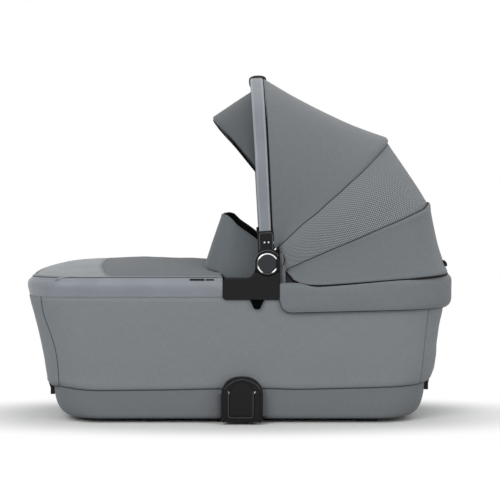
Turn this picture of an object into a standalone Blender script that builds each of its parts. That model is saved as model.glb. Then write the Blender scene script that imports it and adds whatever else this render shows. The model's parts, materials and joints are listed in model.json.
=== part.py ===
"""Folding carrycot with a ratchet hood, at its real size in metres.

X runs towards the head end, Z is up, and the origin is on the ground in the middle.
The hood turns about an axis along Y through the two side hubs.  The rim comes straight
down onto the tray once the two stays have folded inwards.
"""

import math

import bpy
from mathutils import Matrix, Vector

# Clearances
GAP = 0.0003          # between pieces that touch
OVERRUN = 0.004       # how far a cutter passes a face
SIDES = {"left": -1.0, "right": 1.0}
ENDS = {"foot": -1.0, "head": 1.0}

# Tub and rim in plan
RIM_FOOT = 0.4000     # from the middle to the foot end
RIM_HALF_WIDTH = 0.2200
RIM_CORNER = 0.1000
RIM_LOW = 0.2362
RIM_HEIGHT = 0.0360
RIM_DEPTH = 0.0260
RIM_WALL = 0.0030
TUB_HEAD_INSET = 0.0135
TUB_HEAD = RIM_FOOT - TUB_HEAD_INSET
TUB_INSET = 0.0045    # of the fabric from the rim's outer face
TUB_FABRIC = 0.0025
TUB_TAPER_FOOT = 0.0370   # how far the wall's foot stands in from the rim
TUB_TAPER_HEAD = 0.0390
TUB_TAPER_SIDE = 0.0285
TUB_TAPER_CORNER = 0.0130
TUB_LOW_FOOT = RIM_FOOT - TUB_TAPER_FOOT
TUB_LOW_HEAD = RIM_FOOT - TUB_TAPER_HEAD
TUB_LOW_HALF_WIDTH = RIM_HALF_WIDTH - TUB_TAPER_SIDE
TUB_LOW_CORNER = RIM_CORNER - TUB_TAPER_CORNER
TUB_LOW = 0.0780      # where the wall starts to turn under
TUB_BELLY = 0.0025
LINER_FABRIC = 0.0015
LINER_LOW_INSET = 0.0480   # from the wall's foot
LINER_LOW_INSET_SIDE = 0.0195
LINER_TOP_INSET = 0.0390   # from the rim
LINER_TOP_INSET_SIDE = 0.0300
LINER_CORNER_INSET = 0.0150
LINER_DROP = 0.0032
LINER_LOW_END = TUB_LOW_FOOT - LINER_LOW_INSET
LINER_TOP_END = RIM_FOOT - LINER_TOP_INSET
LINER_LOW_HALF_WIDTH = TUB_LOW_HALF_WIDTH - LINER_LOW_INSET_SIDE
LINER_TOP_HALF_WIDTH = RIM_HALF_WIDTH - LINER_TOP_INSET_SIDE
LINER_CORNER = RIM_CORNER - LINER_CORNER_INSET
LINER_LOW = 0.0560
LINER_TOP = RIM_LOW - LINER_DROP

# Tray and its cover
SEAM_FOOT = 0.0615    # height of the seam round the cover's top
SEAM_HEAD = 0.0705
SKIRT_STEP_FOOT = 0.0105   # in from the tub's wall
SKIRT_STEP_HEAD = 0.0095
SKIRT_STEP_SIDE = 0.0050
SKIRT_STEP_CORNER = 0.0040
SKIRT_FOOT = TUB_LOW_FOOT - SKIRT_STEP_FOOT
SKIRT_HEAD = TUB_LOW_HEAD - SKIRT_STEP_HEAD
SKIRT_HALF_WIDTH = TUB_LOW_HALF_WIDTH - SKIRT_STEP_SIDE
SKIRT_CORNER = TUB_LOW_CORNER - SKIRT_STEP_CORNER
SKIRT_LOW = 0.0104
SKIRT_TUCK_END = 0.0270
SKIRT_TUCK_SIDE = 0.0095
SKIRT_FABRIC = 0.0020
TRAY_WALL = 0.0030
TRAY_FLOOR = 0.0040
TRAY_LOW = 0.0060
VENT_LENGTH = 0.0420
VENT_WIDTH = 0.0070
VENT_PITCH = 0.0900
VENT_COUNT = 5
VENT_ROW = 0.0600
FOOT_PAD_LENGTH = 0.0380
FOOT_PAD_WIDTH = 0.0200
FOOT_PAD_SET_FOOT = 0.1925   # from the cover's end
FOOT_PAD_SET_HEAD = 0.1095
FOOT_PAD_AT_FOOT = SKIRT_FOOT - FOOT_PAD_SET_FOOT
FOOT_PAD_AT_HEAD = SKIRT_HEAD - FOOT_PAD_SET_HEAD
FOOT_PAD_INSET = 0.0405   # of its middle from the cover's side
FOOT_PAD_ACROSS = SKIRT_HALF_WIDTH - FOOT_PAD_INSET
LOOP_ACROSS = 0.1000
LOOP_WIDTH = 0.0240
LOOP_THICK = 0.0022
LOOP_BLOCK_TOP = 0.0040
LOOP_BLOCK_DROP = 0.0160
LOOP_BLOCK_THICK = 0.0075
TUCK_SHARES = ((0.0, 0.0), (0.30, 0.10), (0.58, 0.24), (0.82, 0.52), (1.0, 1.0))
TURN_SHARES = (0.0, 0.35)

# Mattress
MATTRESS_INSET_END = 0.0295   # from the cover's head end
MATTRESS_INSET_SIDE = 0.0285
MATTRESS_HALF_LENGTH = SKIRT_HEAD - MATTRESS_INSET_END
MATTRESS_HALF_WIDTH = SKIRT_HALF_WIDTH - MATTRESS_INSET_SIDE
MATTRESS_THICK = 0.0400
MATTRESS_CORNER = 0.0850
MATTRESS_DRAW = 0.0060

# Stays
STAY_TUBE = 0.0050
STAY_INSET = 0.0565   # from the cover's side
STAY_ACROSS = SKIRT_HALF_WIDTH - STAY_INSET
STAY_CORNER = 0.0300
STAY_PIVOT_Z = 0.0750
STAY_REST_SLOPE = math.radians(45)   # from the head stay up to the rail that it bears on
STAY_EYE = 0.0080
STAY_EYE_WIDTH = 0.0070
STAY_PIN = 0.0025
CHEEK = 0.0050
STAY_PADDLE = 0.0170   # length of the flattened end
STAY_PADDLE_HALF = 0.0045
HINGE_DEPTH = 0.0140
HINGE_BACK = 0.0055
HINGE_DROP = 0.0250   # below its pin
HINGE_BASE_DROP = 0.0110
HINGE_RISE = 0.0070
HINGE_LOW = STAY_PIVOT_Z - HINGE_DROP
HINGE_BASE_TOP = STAY_PIVOT_Z - HINGE_BASE_DROP
HINGE_TOP = STAY_PIVOT_Z + HINGE_RISE

# Frame tube
TUBE = 0.0070
TUBE_INSET = 0.0165   # of its centre from the rim's outer face
TUBE_CORNER = 0.0850
TUBE_PLUG = 0.0200    # how far it enters a bracket

# Side brackets and the hood's axis
AXIS_X = 0.0518
AXIS_RISE = 0.0620   # above the rim's underside
AXIS_Z = RIM_LOW + AXIS_RISE
HUB = 0.0225
BRACKET_REACH_FRONT = 0.0821   # from the axis
BRACKET_REACH_BACK = 0.0223
BRACKET_DROP = 0.0040   # below the rim
BRACKET_TOP_DROP = 0.0017
BRACKET_DEPTH = 0.0305
BRACKET_PROUD = 0.0005
BRACKET_FRONT = AXIS_X - BRACKET_REACH_FRONT
BRACKET_BACK = AXIS_X + BRACKET_REACH_BACK
BRACKET_LOW = RIM_LOW - BRACKET_DROP
BRACKET_TOP = RIM_LOW + RIM_HEIGHT - BRACKET_TOP_DROP
BRACKET_CORNER = 0.0060
BRACKET_FILLET = 0.0180
BRACKET_IN = RIM_HALF_WIDTH + BRACKET_PROUD - BRACKET_DEPTH
BRACKET_OUT = RIM_HALF_WIDTH + BRACKET_PROUD
BRACKET_RECESS = 0.0160
PARTING = BRACKET_OUT - BRACKET_RECESS   # where the turning hub meets the bracket
TONGUE_START = 0.0322   # in front of the axis
TONGUE_WIDTH = 0.0262
TONGUE_FRONT = AXIS_X - TONGUE_START
TONGUE_BACK = TONGUE_FRONT + TONGUE_WIDTH
TONGUE_DROP = 0.0178
TONGUE_TAPER = 0.0058
TONGUE_THICK = 0.0035
PIN = 0.0050
PIN_HEAD = 0.0090
PIN_HEAD_THICK = 0.0030
PIN_REACH = 0.0050    # into the turning hub

# Hood handle
BOW_ANGLE = math.radians(-2.72)
BOW_WIDTH = 0.0268    # at its crown
BOW_FOOT_WIDTH = 0.0235   # at its sockets
BOW_SET = 0.0016      # of its middle line in front of the axis
BOW_THICK = 0.0120
BOW_ROUND = 0.0040
BOW_CROWN = 0.3505
BOW_TOP_HEIGHT = 0.2255   # of its curved top
BOW_LEG = BOW_CROWN - BOW_TOP_HEIGHT
BOW_POWER = 2.35
BOW_START = 0.0185
SOCKET_WIDTH = 0.0287
SOCKET_THICK = 0.0160
BOW_HALF_WIDTH = PARTING + GAP + SOCKET_THICK / 2
SOCKET_TOP = 0.0600
GRIP_HALF_LENGTH = 0.0450
GRIP_WALL = 0.0040    # over the bow
GRIP_SIDE = 0.0032
GRIP_UNDER = 0.0016   # its wall under the bow
KNOB = 0.0163
KNOB_THICK = 0.0080
KNOB_PROUD = 0.0017
KNOB_TRAVEL = 0.0030
RING_IN = 0.0169
RING_OUT = 0.0195
RING_THICK = 0.0020
RIVET = 0.0012
RIVET_HEAD = 0.0017
RIVET_APART = 0.0072
RIVET_AT = 0.0390

# Hood ribs and panels
RIB_THICK = 0.0040
RIB_WIDTH = 0.0090
RIB_EYE = 0.0110
MID_ANGLE = math.radians(44.4)
HOOD_INSET = 0.0195   # of its seams from the rim's side
MID_HALF_WIDTH = RIM_HALF_WIDTH - HOOD_INSET
MID_FALL = 0.0170   # of the seam's crown below the bow's
MID_CROWN = BOW_CROWN - MID_FALL
MID_LEG = 0.1200
MID_POWER = 2.5
REAR_ANGLE = math.radians(66.3)
REAR_RIB_ANGLE = math.radians(70.6)
REAR_DX = 0.0102      # the rear seam starts behind and below the axis
REAR_DZ = -0.0212
REAR_HALF_WIDTH = RIM_HALF_WIDTH - HOOD_INSET
REAR_FALL = 0.0165
MESH_TUCK = 0.0020    # how far the mesh's end lies under the rear panel's edge
REAR_CROWN = BOW_CROWN - REAR_FALL
REAR_LEG = 0.1400
REAR_POWER = 2.8
HOOD_FABRIC = 0.0024
HOOD_SEAM = 0.0010     # of each panel's edge from the seam's middle
HOOD_SAG = 0.0090
HOOD_MESH_SAG = 0.0020
HOOD_REAR_SAG = 0.0030
HEM_INSET = 0.0035   # from the rim in plan
HEM_HEAD = RIM_FOOT - HEM_INSET
HEM_HALF_WIDTH = RIM_HALF_WIDTH - HEM_INSET
HEM_TUCK = 0.0140
HEM_TUCK_LENGTH = 0.0900
HEM_RISE = 0.0235
HEM_RISE_LENGTH = 0.0750
HEM_LEG = 0.2140
HEM_POWER = 4.0
HEM_START = 0.0330
TAB_WIDTH = 0.0088
TAB_THICK = 0.0022
TAB_HEIGHT = 0.0540

# Padded rail round the head end
BUMPER_PROUD = 0.0005   # of the rim's side
BUMPER_HEAD = RIM_FOOT
BUMPER_HALF_WIDTH = RIM_HALF_WIDTH + BUMPER_PROUD
BUMPER_CORNER = 0.1050
BUMPER_DROP = 0.0292   # below the rim
BUMPER_RISE_FRONT = 0.0248
BUMPER_RISE_HEAD = 0.0413
BUMPER_LOW = RIM_LOW - BUMPER_DROP
BUMPER_LOW_RISE = 0.0080
BUMPER_TOP_FRONT = RIM_LOW + BUMPER_RISE_FRONT
BUMPER_TOP_DIP = 0.0045
BUMPER_TOP_HEAD = RIM_LOW + BUMPER_RISE_HEAD
BUMPER_ROUND_LOW = 0.0180   # height of the rounding along its foot
BUMPER_ROUND_TOP = 0.0140
BUMPER_DRAW_END = 0.0100    # how far its edges are drawn in at the end
BUMPER_DRAW_SIDE = 0.0030
BUMPER_LIP = 0.0020
BUMPER_FRONT_ROUND = 0.0180   # of the lower corners by the brackets
BUMPER_BULGE = 0.0015

# Apron
APRON_SET = 0.0097   # in front of the brackets
APRON_BACK = BRACKET_FRONT - APRON_SET
APRON_CORNER = 0.0900
APRON_EDGE_DROP = 0.0017
APRON_EDGE = RIM_LOW + RIM_HEIGHT - APRON_EDGE_DROP
APRON_CROWN = 0.0300
APRON_RISE = 0.1300
APRON_THICK = 0.0026
PULLER_LENGTH = 0.0120
PULLER_WIDTH = 0.0040
PULLER_THICK = 0.0020
PULLER_SET = 0.0030   # in front of the apron's back edge
PULLER_INSET = 0.0195   # from the rim's side
PULLER_AT = APRON_BACK - PULLER_SET

# Wind flap
FLAP_SET = 0.0357   # of its foot in front of the brackets
FLAP_FOOT = FLAP_SET - BRACKET_FRONT
FLAP_LEAN = 0.0315
FLAP_HEIGHT = 0.1190
FLAP_WING_HEIGHT = 0.0710
FLAP_TOP = APRON_EDGE + FLAP_HEIGHT
FLAP_WING_SET = 0.0213   # in front of the axis
FLAP_WING_END = AXIS_X - FLAP_WING_SET
FLAP_WING_TOP = APRON_EDGE + FLAP_WING_HEIGHT
FLAP_INSET = 0.0320
FLAP_HALF_WIDTH = RIM_HALF_WIDTH - FLAP_INSET
FLAP_TOP_INSET = 0.0100
FLAP_CORNER = 0.0450
FLAP_THICK = 0.0060
FLAP_SEAT = 0.0005

# Sun visor
VISOR_SET = 0.0145   # in front of the hood's axis
VISOR_DROP = 0.1807    # of its pivot below the bow's crown
VISOR_X = AXIS_X - VISOR_SET
VISOR_Z = AXIS_Z + BOW_CROWN - VISOR_DROP
VISOR_ANGLE = math.radians(-39.3)
VISOR_CROWN = 0.1325
VISOR_INSET = 0.0168   # inside the bow
VISOR_BOW_INSET = 0.0103
VISOR_BOW_FALL = 0.0175
VISOR_HALF_WIDTH = BOW_HALF_WIDTH - VISOR_INSET
VISOR_POWER = 2.4
VISOR_WIRE = 0.0020
VISOR_STUB = 0.0030
VISOR_FABRIC = 0.0016
VISOR_BOW_CROWN = BOW_CROWN - VISOR_BOW_FALL
VISOR_BOW_HALF_WIDTH = BOW_HALF_WIDTH - VISOR_BOW_INSET

# Chassis adaptors
ADAPTOR_X = 0.0051
ADAPTOR_WIDTH = 0.0771
ADAPTOR_LOW = 0.0050
ADAPTOR_SHOULDER = 0.0560
ADAPTOR_APEX = 0.0892
ADAPTOR_PROUD = 0.0200   # of the cover's side
ADAPTOR_THICK = 0.0125
ADAPTOR_OUT = SKIRT_HALF_WIDTH + ADAPTOR_PROUD
ADAPTOR_IN = ADAPTOR_OUT - ADAPTOR_THICK
ADAPTOR_BLOCK_TOP = 0.0560
ADAPTOR_BORDER = 0.0040
ADAPTOR_RIM = 0.0020
BUTTON_WIDTH = 0.0460
BUTTON_LOW = 0.0168
BUTTON_SHOULDER = 0.0500
BUTTON_APEX = 0.0800
BUTTON_THICK = 0.0040
BUTTON_TRAVEL = 0.0030
SLOT_WIDTH = 0.0440
SLOT_DEPTH = 0.0500
SLOT_THICK = 0.0095
SLOT_IN = SKIRT_HALF_WIDTH
SLOT_OUT = SLOT_IN + SLOT_THICK

# Chamfers on moulded edges
CHAMFER = 0.0010
FINE_CHAMFER = 0.0005

# How finely curves are divided
CORNER_STEPS = 6
SIDE_STEPS = 3
ARCH_STEPS = 18
PANEL_STEPS = 4
ROUND_STEPS = 24


def srgb(red, green, blue):
    """The linear colour of a surface given in display levels."""
    full_level = 255.0
    toe_share, slope, offset_share, power = 0.04045, 12.92, 0.055, 2.4
    linear = []
    for level in (red, green, blue):
        share = level / full_level
        if share <= toe_share:
            linear.append(share / slope)
        else:
            linear.append(((share + offset_share) / (1 + offset_share)) ** power)
    return (*linear, 1.0)


def material(name, colour, roughness, metallic=0.0):
    made = bpy.data.materials.new(name)
    made.use_nodes = True
    shader = made.node_tree.nodes["Principled BSDF"]
    shader.inputs["Base Color"].default_value = srgb(*colour)
    shader.inputs["Roughness"].default_value = roughness
    shader.inputs["Metallic"].default_value = metallic
    return made


def make_materials():
    return {
        "hood_fabric": material("hood_fabric", (116, 121, 125), 0.9),
        "mesh_fabric": material("mesh_fabric", (128, 133, 137), 0.9),
        "tub_fabric": material("tub_fabric", (124, 129, 134), 0.85),
        "skirt_fabric": material("skirt_fabric", (106, 111, 115), 0.85),
        "dark_lining": material("dark_lining", (30, 30, 32), 0.95),
        "leatherette": material("leatherette", (150, 155, 160), 0.6),
        "rim_plastic": material("rim_plastic", (141, 146, 153), 0.45),
        "bow_metal": material("bow_metal", (138, 143, 150), 0.4, 0.6),
        "black_plastic": material("black_plastic", (36, 36, 38), 0.5),
        "knob_plastic": material("knob_plastic", (54, 58, 61), 0.5),
        "chrome": material("chrome", (220, 222, 224), 0.15, 1.0),
        "steel": material("steel", (150, 152, 155), 0.35, 1.0),
        "foam": material("foam", (205, 207, 210), 0.9),
        "rubber": material("rubber", (30, 30, 30), 0.8),
    }


def solid(name, verts, faces, finish, mesh_only=False):
    """One closed mesh object, shaded smooth with sharp folds."""
    fold = math.radians(35)
    mesh = bpy.data.meshes.new(name)
    mesh.from_pydata([tuple(v) for v in verts], [], faces)
    mesh.validate()
    made = bpy.data.objects.new(name, mesh)
    bpy.context.scene.collection.objects.link(made)
    volume = signed_volume(mesh)
    if volume < 0:
        mesh.flip_normals()
    mesh.shade_smooth()
    mesh.set_sharp_from_angle(angle=fold)
    if finish is not None:
        mesh.materials.append(finish)
    return made


def signed_volume(mesh):
    """Six times the volume inside a closed mesh, negative if it is inside out."""
    mesh.calc_loop_triangles()
    total = 0.0
    for triangle in mesh.loop_triangles:
        a, b, c = (mesh.vertices[i].co for i in triangle.vertices)
        total += a.dot(b.cross(c))
    return total


def ring_solid(name, rings, finish, closed=False):
    """Skins a run of like rings.  A closed run is a torus, an open one is capped."""
    count = len(rings[0])
    verts = [point for ring in rings for point in ring]
    faces = []
    runs = len(rings) if closed else len(rings) - 1
    for i in range(runs):
        here = i * count
        there = ((i + 1) % len(rings)) * count
        for j in range(count):
            k = (j + 1) % count
            faces.append((here + j, here + k, there + k, there + j))
    if not closed:
        last = (len(rings) - 1) * count
        faces.append(tuple(reversed(range(count))))
        faces.append(tuple(last + j for j in range(count)))
    return solid(name, verts, faces, finish)


def transpose(lines):
    return [list(column) for column in zip(*lines)]


def sheet(name, grid, thickness, finish):
    """A sheet whose outer face is the grid, thickened inwards."""
    rows, columns = len(grid), len(grid[0])
    faces = []
    for i in range(rows - 1):
        for j in range(columns - 1):
            a = i * columns + j
            faces.append((a, a + columns, a + columns + 1, a + 1))
    mesh = bpy.data.meshes.new(name)
    mesh.from_pydata([tuple(point) for row in grid for point in row], [], faces)
    mesh.shade_smooth()
    made = bpy.data.objects.new(name, mesh)
    bpy.context.scene.collection.objects.link(made)
    if finish is not None:
        mesh.materials.append(finish)
    change = made.modifiers.new("thickness", "SOLIDIFY")
    change.thickness = thickness
    change.offset = -1.0
    return made


def upright_sheet(name, grid, thickness, finish):
    """A thick sheet whose thickness goes straight inwards on the level."""
    rows, columns = len(grid), len(grid[0])
    outer, inner = [], []
    for i in range(rows):
        for j in range(columns):
            along = grid[min(i + 1, rows - 1)][j] - grid[max(i - 1, 0)][j]
            across = grid[i][min(j + 1, columns - 1)] - grid[i][max(j - 1, 0)]
            normal = along.cross(across)
            normal.z = 0.0
            normal.normalize()
            outer.append(grid[i][j])
            inner.append(grid[i][j] - normal * thickness)
    size = rows * columns
    faces = []
    for i in range(rows - 1):
        for j in range(columns - 1):
            a = i * columns + j
            b, c, d = a + 1, a + columns + 1, a + columns
            faces.append((a, b, c, d))
            faces.append((size + d, size + c, size + b, size + a))
    edge = [j for j in range(columns)]
    edge += [i * columns + columns - 1 for i in range(1, rows)]
    edge += [(rows - 1) * columns + j for j in range(columns - 2, -1, -1)]
    edge += [i * columns for i in range(rows - 2, 0, -1)]
    for a, b in zip(edge, edge[1:] + edge[:1]):
        faces.append((b, a, size + a, size + b))
    return solid(name, outer + inner, faces, finish)


def prism(name, outline, y_from, y_to, finish):
    """An outline in X and Z, extruded along Y."""
    rings = [[Vector((x, y, z)) for x, z in outline] for y in (y_from, y_to)]
    return ring_solid(name, rings, finish)


def block(name, low, high, finish):
    outline = [(low[0], low[2]), (high[0], low[2]), (high[0], high[2]), (low[0], high[2])]
    return prism(name, outline, low[1], high[1], finish)


def turned(name, profile, centre, finish, steps=ROUND_STEPS):
    """A profile of (radius, y) turned about a line along Y through (x, z)."""
    rings = []
    for radius, y in profile:
        ring = []
        for i in range(steps):
            angle = 2 * math.pi * i / steps
            x = centre[0] + radius * math.sin(angle)
            z = centre[1] + radius * math.cos(angle)
            ring.append(Vector((x, y, z)))
        rings.append(ring)
    return ring_solid(name, rings, finish)


def washer(name, inner, outer, y_from, y_to, centre, finish):
    """A flat ring about a line along Y."""
    rings = []
    for radius, y in ((inner, y_from), (outer, y_from), (outer, y_to), (inner, y_to)):
        ring = []
        for i in range(ROUND_STEPS):
            angle = 2 * math.pi * i / ROUND_STEPS
            x = centre[0] + radius * math.sin(angle)
            z = centre[1] + radius * math.cos(angle)
            ring.append(Vector((x, y, z)))
        rings.append(ring)
    return ring_solid(name, rings, finish, closed=True)


def arc(centre, radius, start, end, steps):
    """Points on an arc in X and Z, with angles in degrees from +X towards +Z."""
    points = []
    for i in range(steps + 1):
        angle = math.radians(start + (end - start) * i / steps)
        points.append((centre[0] + radius * math.cos(angle), centre[1] + radius * math.sin(angle)))
    return points


def chamfer(piece, width):
    """Breaks a moulded piece's sharp edges."""
    change = piece.modifiers.new("chamfer", "BEVEL")
    change.width = width
    change.segments = 1
    change.limit_method = "ANGLE"
    change.angle_limit = math.radians(40)


def boolean(target, other, operation):
    other.hide_render = True
    other.display_type = "WIRE"
    change = target.modifiers.new(operation.lower(), "BOOLEAN")
    change.operation = operation
    change.object = other
    change.solver = "EXACT"


def cut(target, other):
    boolean(target, other, "DIFFERENCE")


def join(target, other):
    boolean(target, other, "UNION")


def cylinder(name, radius, y_from, y_to, centre, finish=None, steps=ROUND_STEPS):
    return turned(name, [(radius, y_from), (radius, y_to)], centre, finish, steps)


def u_path(open_end, closed_end, half_width, corner, side_steps=SIDE_STEPS, end_steps=1):
    """A U in plan from its -Y end round the closed end to its +Y end."""
    way = 1.0 if closed_end > open_end else -1.0
    middle = closed_end - way * corner
    inner = half_width - corner
    points = []
    for i in range(side_steps):
        share = i / side_steps
        points.append((open_end + (middle - open_end) * share, -half_width))
    for i in range(CORNER_STEPS + 1):
        angle = math.pi / 2 * i / CORNER_STEPS
        x = middle + way * corner * math.sin(angle)
        points.append((x, -inner - corner * math.cos(angle)))
    across = [(closed_end, inner * (2 * i / end_steps - 1)) for i in range(1, end_steps)]
    return points + across + [(x, -y) for x, y in reversed(points)]


def u_solid(name, section, path, place, finish):
    """Sweeps a section along a U.  The section gives (outward offset, height)."""
    lines = []
    for offset, height in section:
        lines.append([place(a, b, height) for a, b in path(offset)])
    return ring_solid(name, transpose(lines), finish)


def round_section(radius, steps=10):
    points = []
    for i in range(steps):
        angle = 2 * math.pi * i / steps
        points.append((radius * math.cos(angle), radius * math.sin(angle)))
    return points


def rounded_section(width, height, radius):
    """A rectangle with rounded corners, three points to a corner."""
    points = []
    for x_sign, y_sign, start in ((1, 1, 0), (-1, 1, 90), (-1, -1, 180), (1, -1, 270)):
        centre = (x_sign * (width / 2 - radius), y_sign * (height / 2 - radius))
        points += arc(centre, radius, start, start + 90, 2)
    return points


def plan_loop(foot, head, half_width, corner, height):
    """A closed level line.  The height is a number or a function of x."""
    points = []
    for way, end in ((-1.0, foot), (1.0, head)):
        middle = way * (end - corner)
        inner = half_width - corner
        half = []
        for i in range(CORNER_STEPS + 1):
            angle = math.pi / 2 * i / CORNER_STEPS
            x = middle + way * corner * math.sin(angle)
            half.append((x, -inner - corner * math.cos(angle)))
        turn = half + [(x, -y) for x, y in reversed(half)]
        points += turn if way < 0 else [(x, y) for x, y in reversed(turn)]
    level = height if callable(height) else (lambda x: height)
    return [Vector((x, y, level(x))) for x, y in points]


def arch_curve(half_width, crown, leg, power, start=0.0, steps=ARCH_STEPS):
    """Points (y, r, ny, nr) of an arch with straight legs and a superelliptic top.

    They are spread evenly by length from r = start on the -Y leg, over the crown.
    """
    fine = 96
    dense = [(half_width, 0.0)]
    for i in range(fine + 1):
        angle = math.pi / 2 * i / fine
        y = half_width * abs(math.cos(angle)) ** (2 / power) if i < fine else 0.0
        r = leg + (crown - leg) * math.sin(angle) ** (2 / power)
        dense.append((y, r))
    trimmed = []
    for (y0, r0), (y1, r1) in zip(dense, dense[1:]):
        if r1 <= start:
            continue
        if r0 < start:
            share = (start - r0) / (r1 - r0)
            y0, r0 = y0 + (y1 - y0) * share, start
        if not trimmed:
            trimmed.append((y0, r0))
        trimmed.append((y1, r1))
    lengths = [0.0]
    for (y0, r0), (y1, r1) in zip(trimmed, trimmed[1:]):
        lengths.append(lengths[-1] + math.hypot(y1 - y0, r1 - r0))
    half = []
    for i in range(steps // 2 + 1):
        want = lengths[-1] * 2 * i / steps
        k = 0
        while k < len(lengths) - 2 and lengths[k + 1] < want:
            k += 1
        span = lengths[k + 1] - lengths[k]
        share = (want - lengths[k]) / span if span else 0.0
        y = trimmed[k][0] + (trimmed[k + 1][0] - trimmed[k][0]) * share
        r = trimmed[k][1] + (trimmed[k + 1][1] - trimmed[k][1]) * share
        half.append((y, r))
    line = [(-y, r) for y, r in half] + list(reversed(half[:-1]))
    points = []
    for i, (y, r) in enumerate(line):
        before, after = line[max(i - 1, 0)], line[min(i + 1, len(line) - 1)]
        dy, dr = after[0] - before[0], after[1] - before[1]
        length = math.hypot(dy, dr)
        if i in (0, len(line) - 1):
            points.append((y, r, math.copysign(1.0, y), 0.0))
        else:
            points.append((y, r, -dr / length, dy / length))
    return points


def arch_side(half_width, crown, leg, power, r):
    """How far an arch stands from the middle at a height r."""
    up = max((r - leg) / (crown - leg), 0.0)
    return half_width * (1 - up ** power) ** (1 / power)


def part_way(start, end, share):
    return tuple(a + (b - a) * share for a, b in zip(start, end))


def crown_of(curve, half_length):
    """The part of an arch curve that lies within a half length of the middle."""
    inside = [point for point in curve if abs(point[0]) < half_length]
    first = curve.index(inside[0])
    before, after = curve[first - 1], curve[first]
    share = (-half_length - before[0]) / (after[0] - before[0])
    y, r, ny, nr = part_way(before, after, share)
    return [(y, r, ny, nr)] + inside + [(-y, r, -ny, nr)]


def in_plane(origin, angle, r, aside, y):
    """A point r out from an axis along Y, and set aside across the plane."""
    x = origin[0] + r * math.sin(angle) + aside * math.cos(angle)
    z = origin[1] + r * math.cos(angle) - aside * math.sin(angle)
    return Vector((x, y, z))


def arch_solid(name, origin, angle, curve, section, finish):
    """Sweeps a section of (outward, aside) along an arch in a plane through the axis."""
    rings = []
    for y, r, ny, nr in curve:
        ring = []
        for outward, aside in section:
            ring.append(in_plane(origin, angle, r + nr * outward, aside, y + ny * outward))
        rings.append(ring)
    return ring_solid(name, rings, finish)


def arch_line(origin, angle, curve, aside=0.0):
    return [in_plane(origin, angle, r, aside, y) for y, r, ny, nr in curve]


def ruled_grid(start, end, rows, sag, towards):
    """Rows of points between two lines, drawn in towards a point by the sag."""
    grid = []
    for i in range(rows + 1):
        share = i / rows
        pull = 4 * share * (1 - share) * sag
        row = []
        for a, b in zip(start, end):
            point = a.lerp(b, share)
            inward = (towards - point).normalized()
            row.append(point + inward * pull)
        grid.append(row)
    return grid


AXIS = (AXIS_X, AXIS_Z)
REAR_ORIGIN = (AXIS_X + REAR_DX, AXIS_Z + REAR_DZ)
RIM_MIDDLE = RIM_LOW + RIM_HEIGHT / 2
TUBE_ACROSS = RIM_HALF_WIDTH - TUBE_INSET
HOOD_MIDDLE = Vector((AXIS_X + BRACKET_BACK, 0.0, AXIS_Z))


def seam_height(x):
    """The sloping seam between the tub and the tray's cover."""
    share = (x + SKIRT_FOOT) / (SKIRT_FOOT + SKIRT_HEAD)
    return SEAM_FOOT + (SEAM_HEAD - SEAM_FOOT) * share


def bumper_share(x):
    return min(max((x - BRACKET_BACK) / (BUMPER_HEAD - BRACKET_BACK), 0.0), 1.0)


def bumper_top(x):
    share = bumper_share(x)
    rise = (BUMPER_TOP_HEAD - BUMPER_TOP_FRONT) * share
    dip_power = 0.6
    return BUMPER_TOP_FRONT + rise - BUMPER_TOP_DIP * math.sin(math.pi * share ** dip_power)


def bumper_low(x):
    return BUMPER_LOW + BUMPER_LOW_RISE * bumper_share(x)


def skirt_levels(inset, seam_drop):
    """Level lines of the cover, or of the tray inside it, from the top down."""
    loops = []
    for down, tuck in TUCK_SHARES:
        end = SKIRT_TUCK_END * tuck + inset
        side = SKIRT_TUCK_SIDE * tuck + inset

        def level(x, down=down):
            top = seam_height(x) - seam_drop
            return top + (SKIRT_LOW - top) * down

        corner = SKIRT_CORNER - inset
        loops.append(plan_loop(SKIRT_FOOT - end, SKIRT_HEAD - end,
                               SKIRT_HALF_WIDTH - side, corner, level))
    return loops


def tuck_share_at(down_share):
    """How far the cover is drawn in at a share of the way down it."""
    for (down, tuck), (next_down, next_tuck) in zip(TUCK_SHARES, TUCK_SHARES[1:]):
        if down_share <= next_down:
            return tuck + (next_tuck - tuck) * (down_share - down) / (next_down - down)
    return 1.0


def skirt_wall(way, across, height, inset):
    """Distance from the middle to a face at an inset from the cover's end."""
    end = SKIRT_FOOT if way < 0 else SKIRT_HEAD
    top = seam_height(way * end)
    tuck = tuck_share_at((top - height) / (top - SKIRT_LOW))
    corner = SKIRT_CORNER - inset
    straight = SKIRT_HALF_WIDTH - SKIRT_TUCK_SIDE * tuck - inset - corner
    into = max(across - straight, 0.0)
    facet = corner * (1 - math.cos(math.pi / 4 / CORNER_STEPS)) if into > 0 else 0.0
    return end - SKIRT_TUCK_END * tuck - inset - corner + math.sqrt(corner ** 2 - into ** 2) - facet


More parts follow.
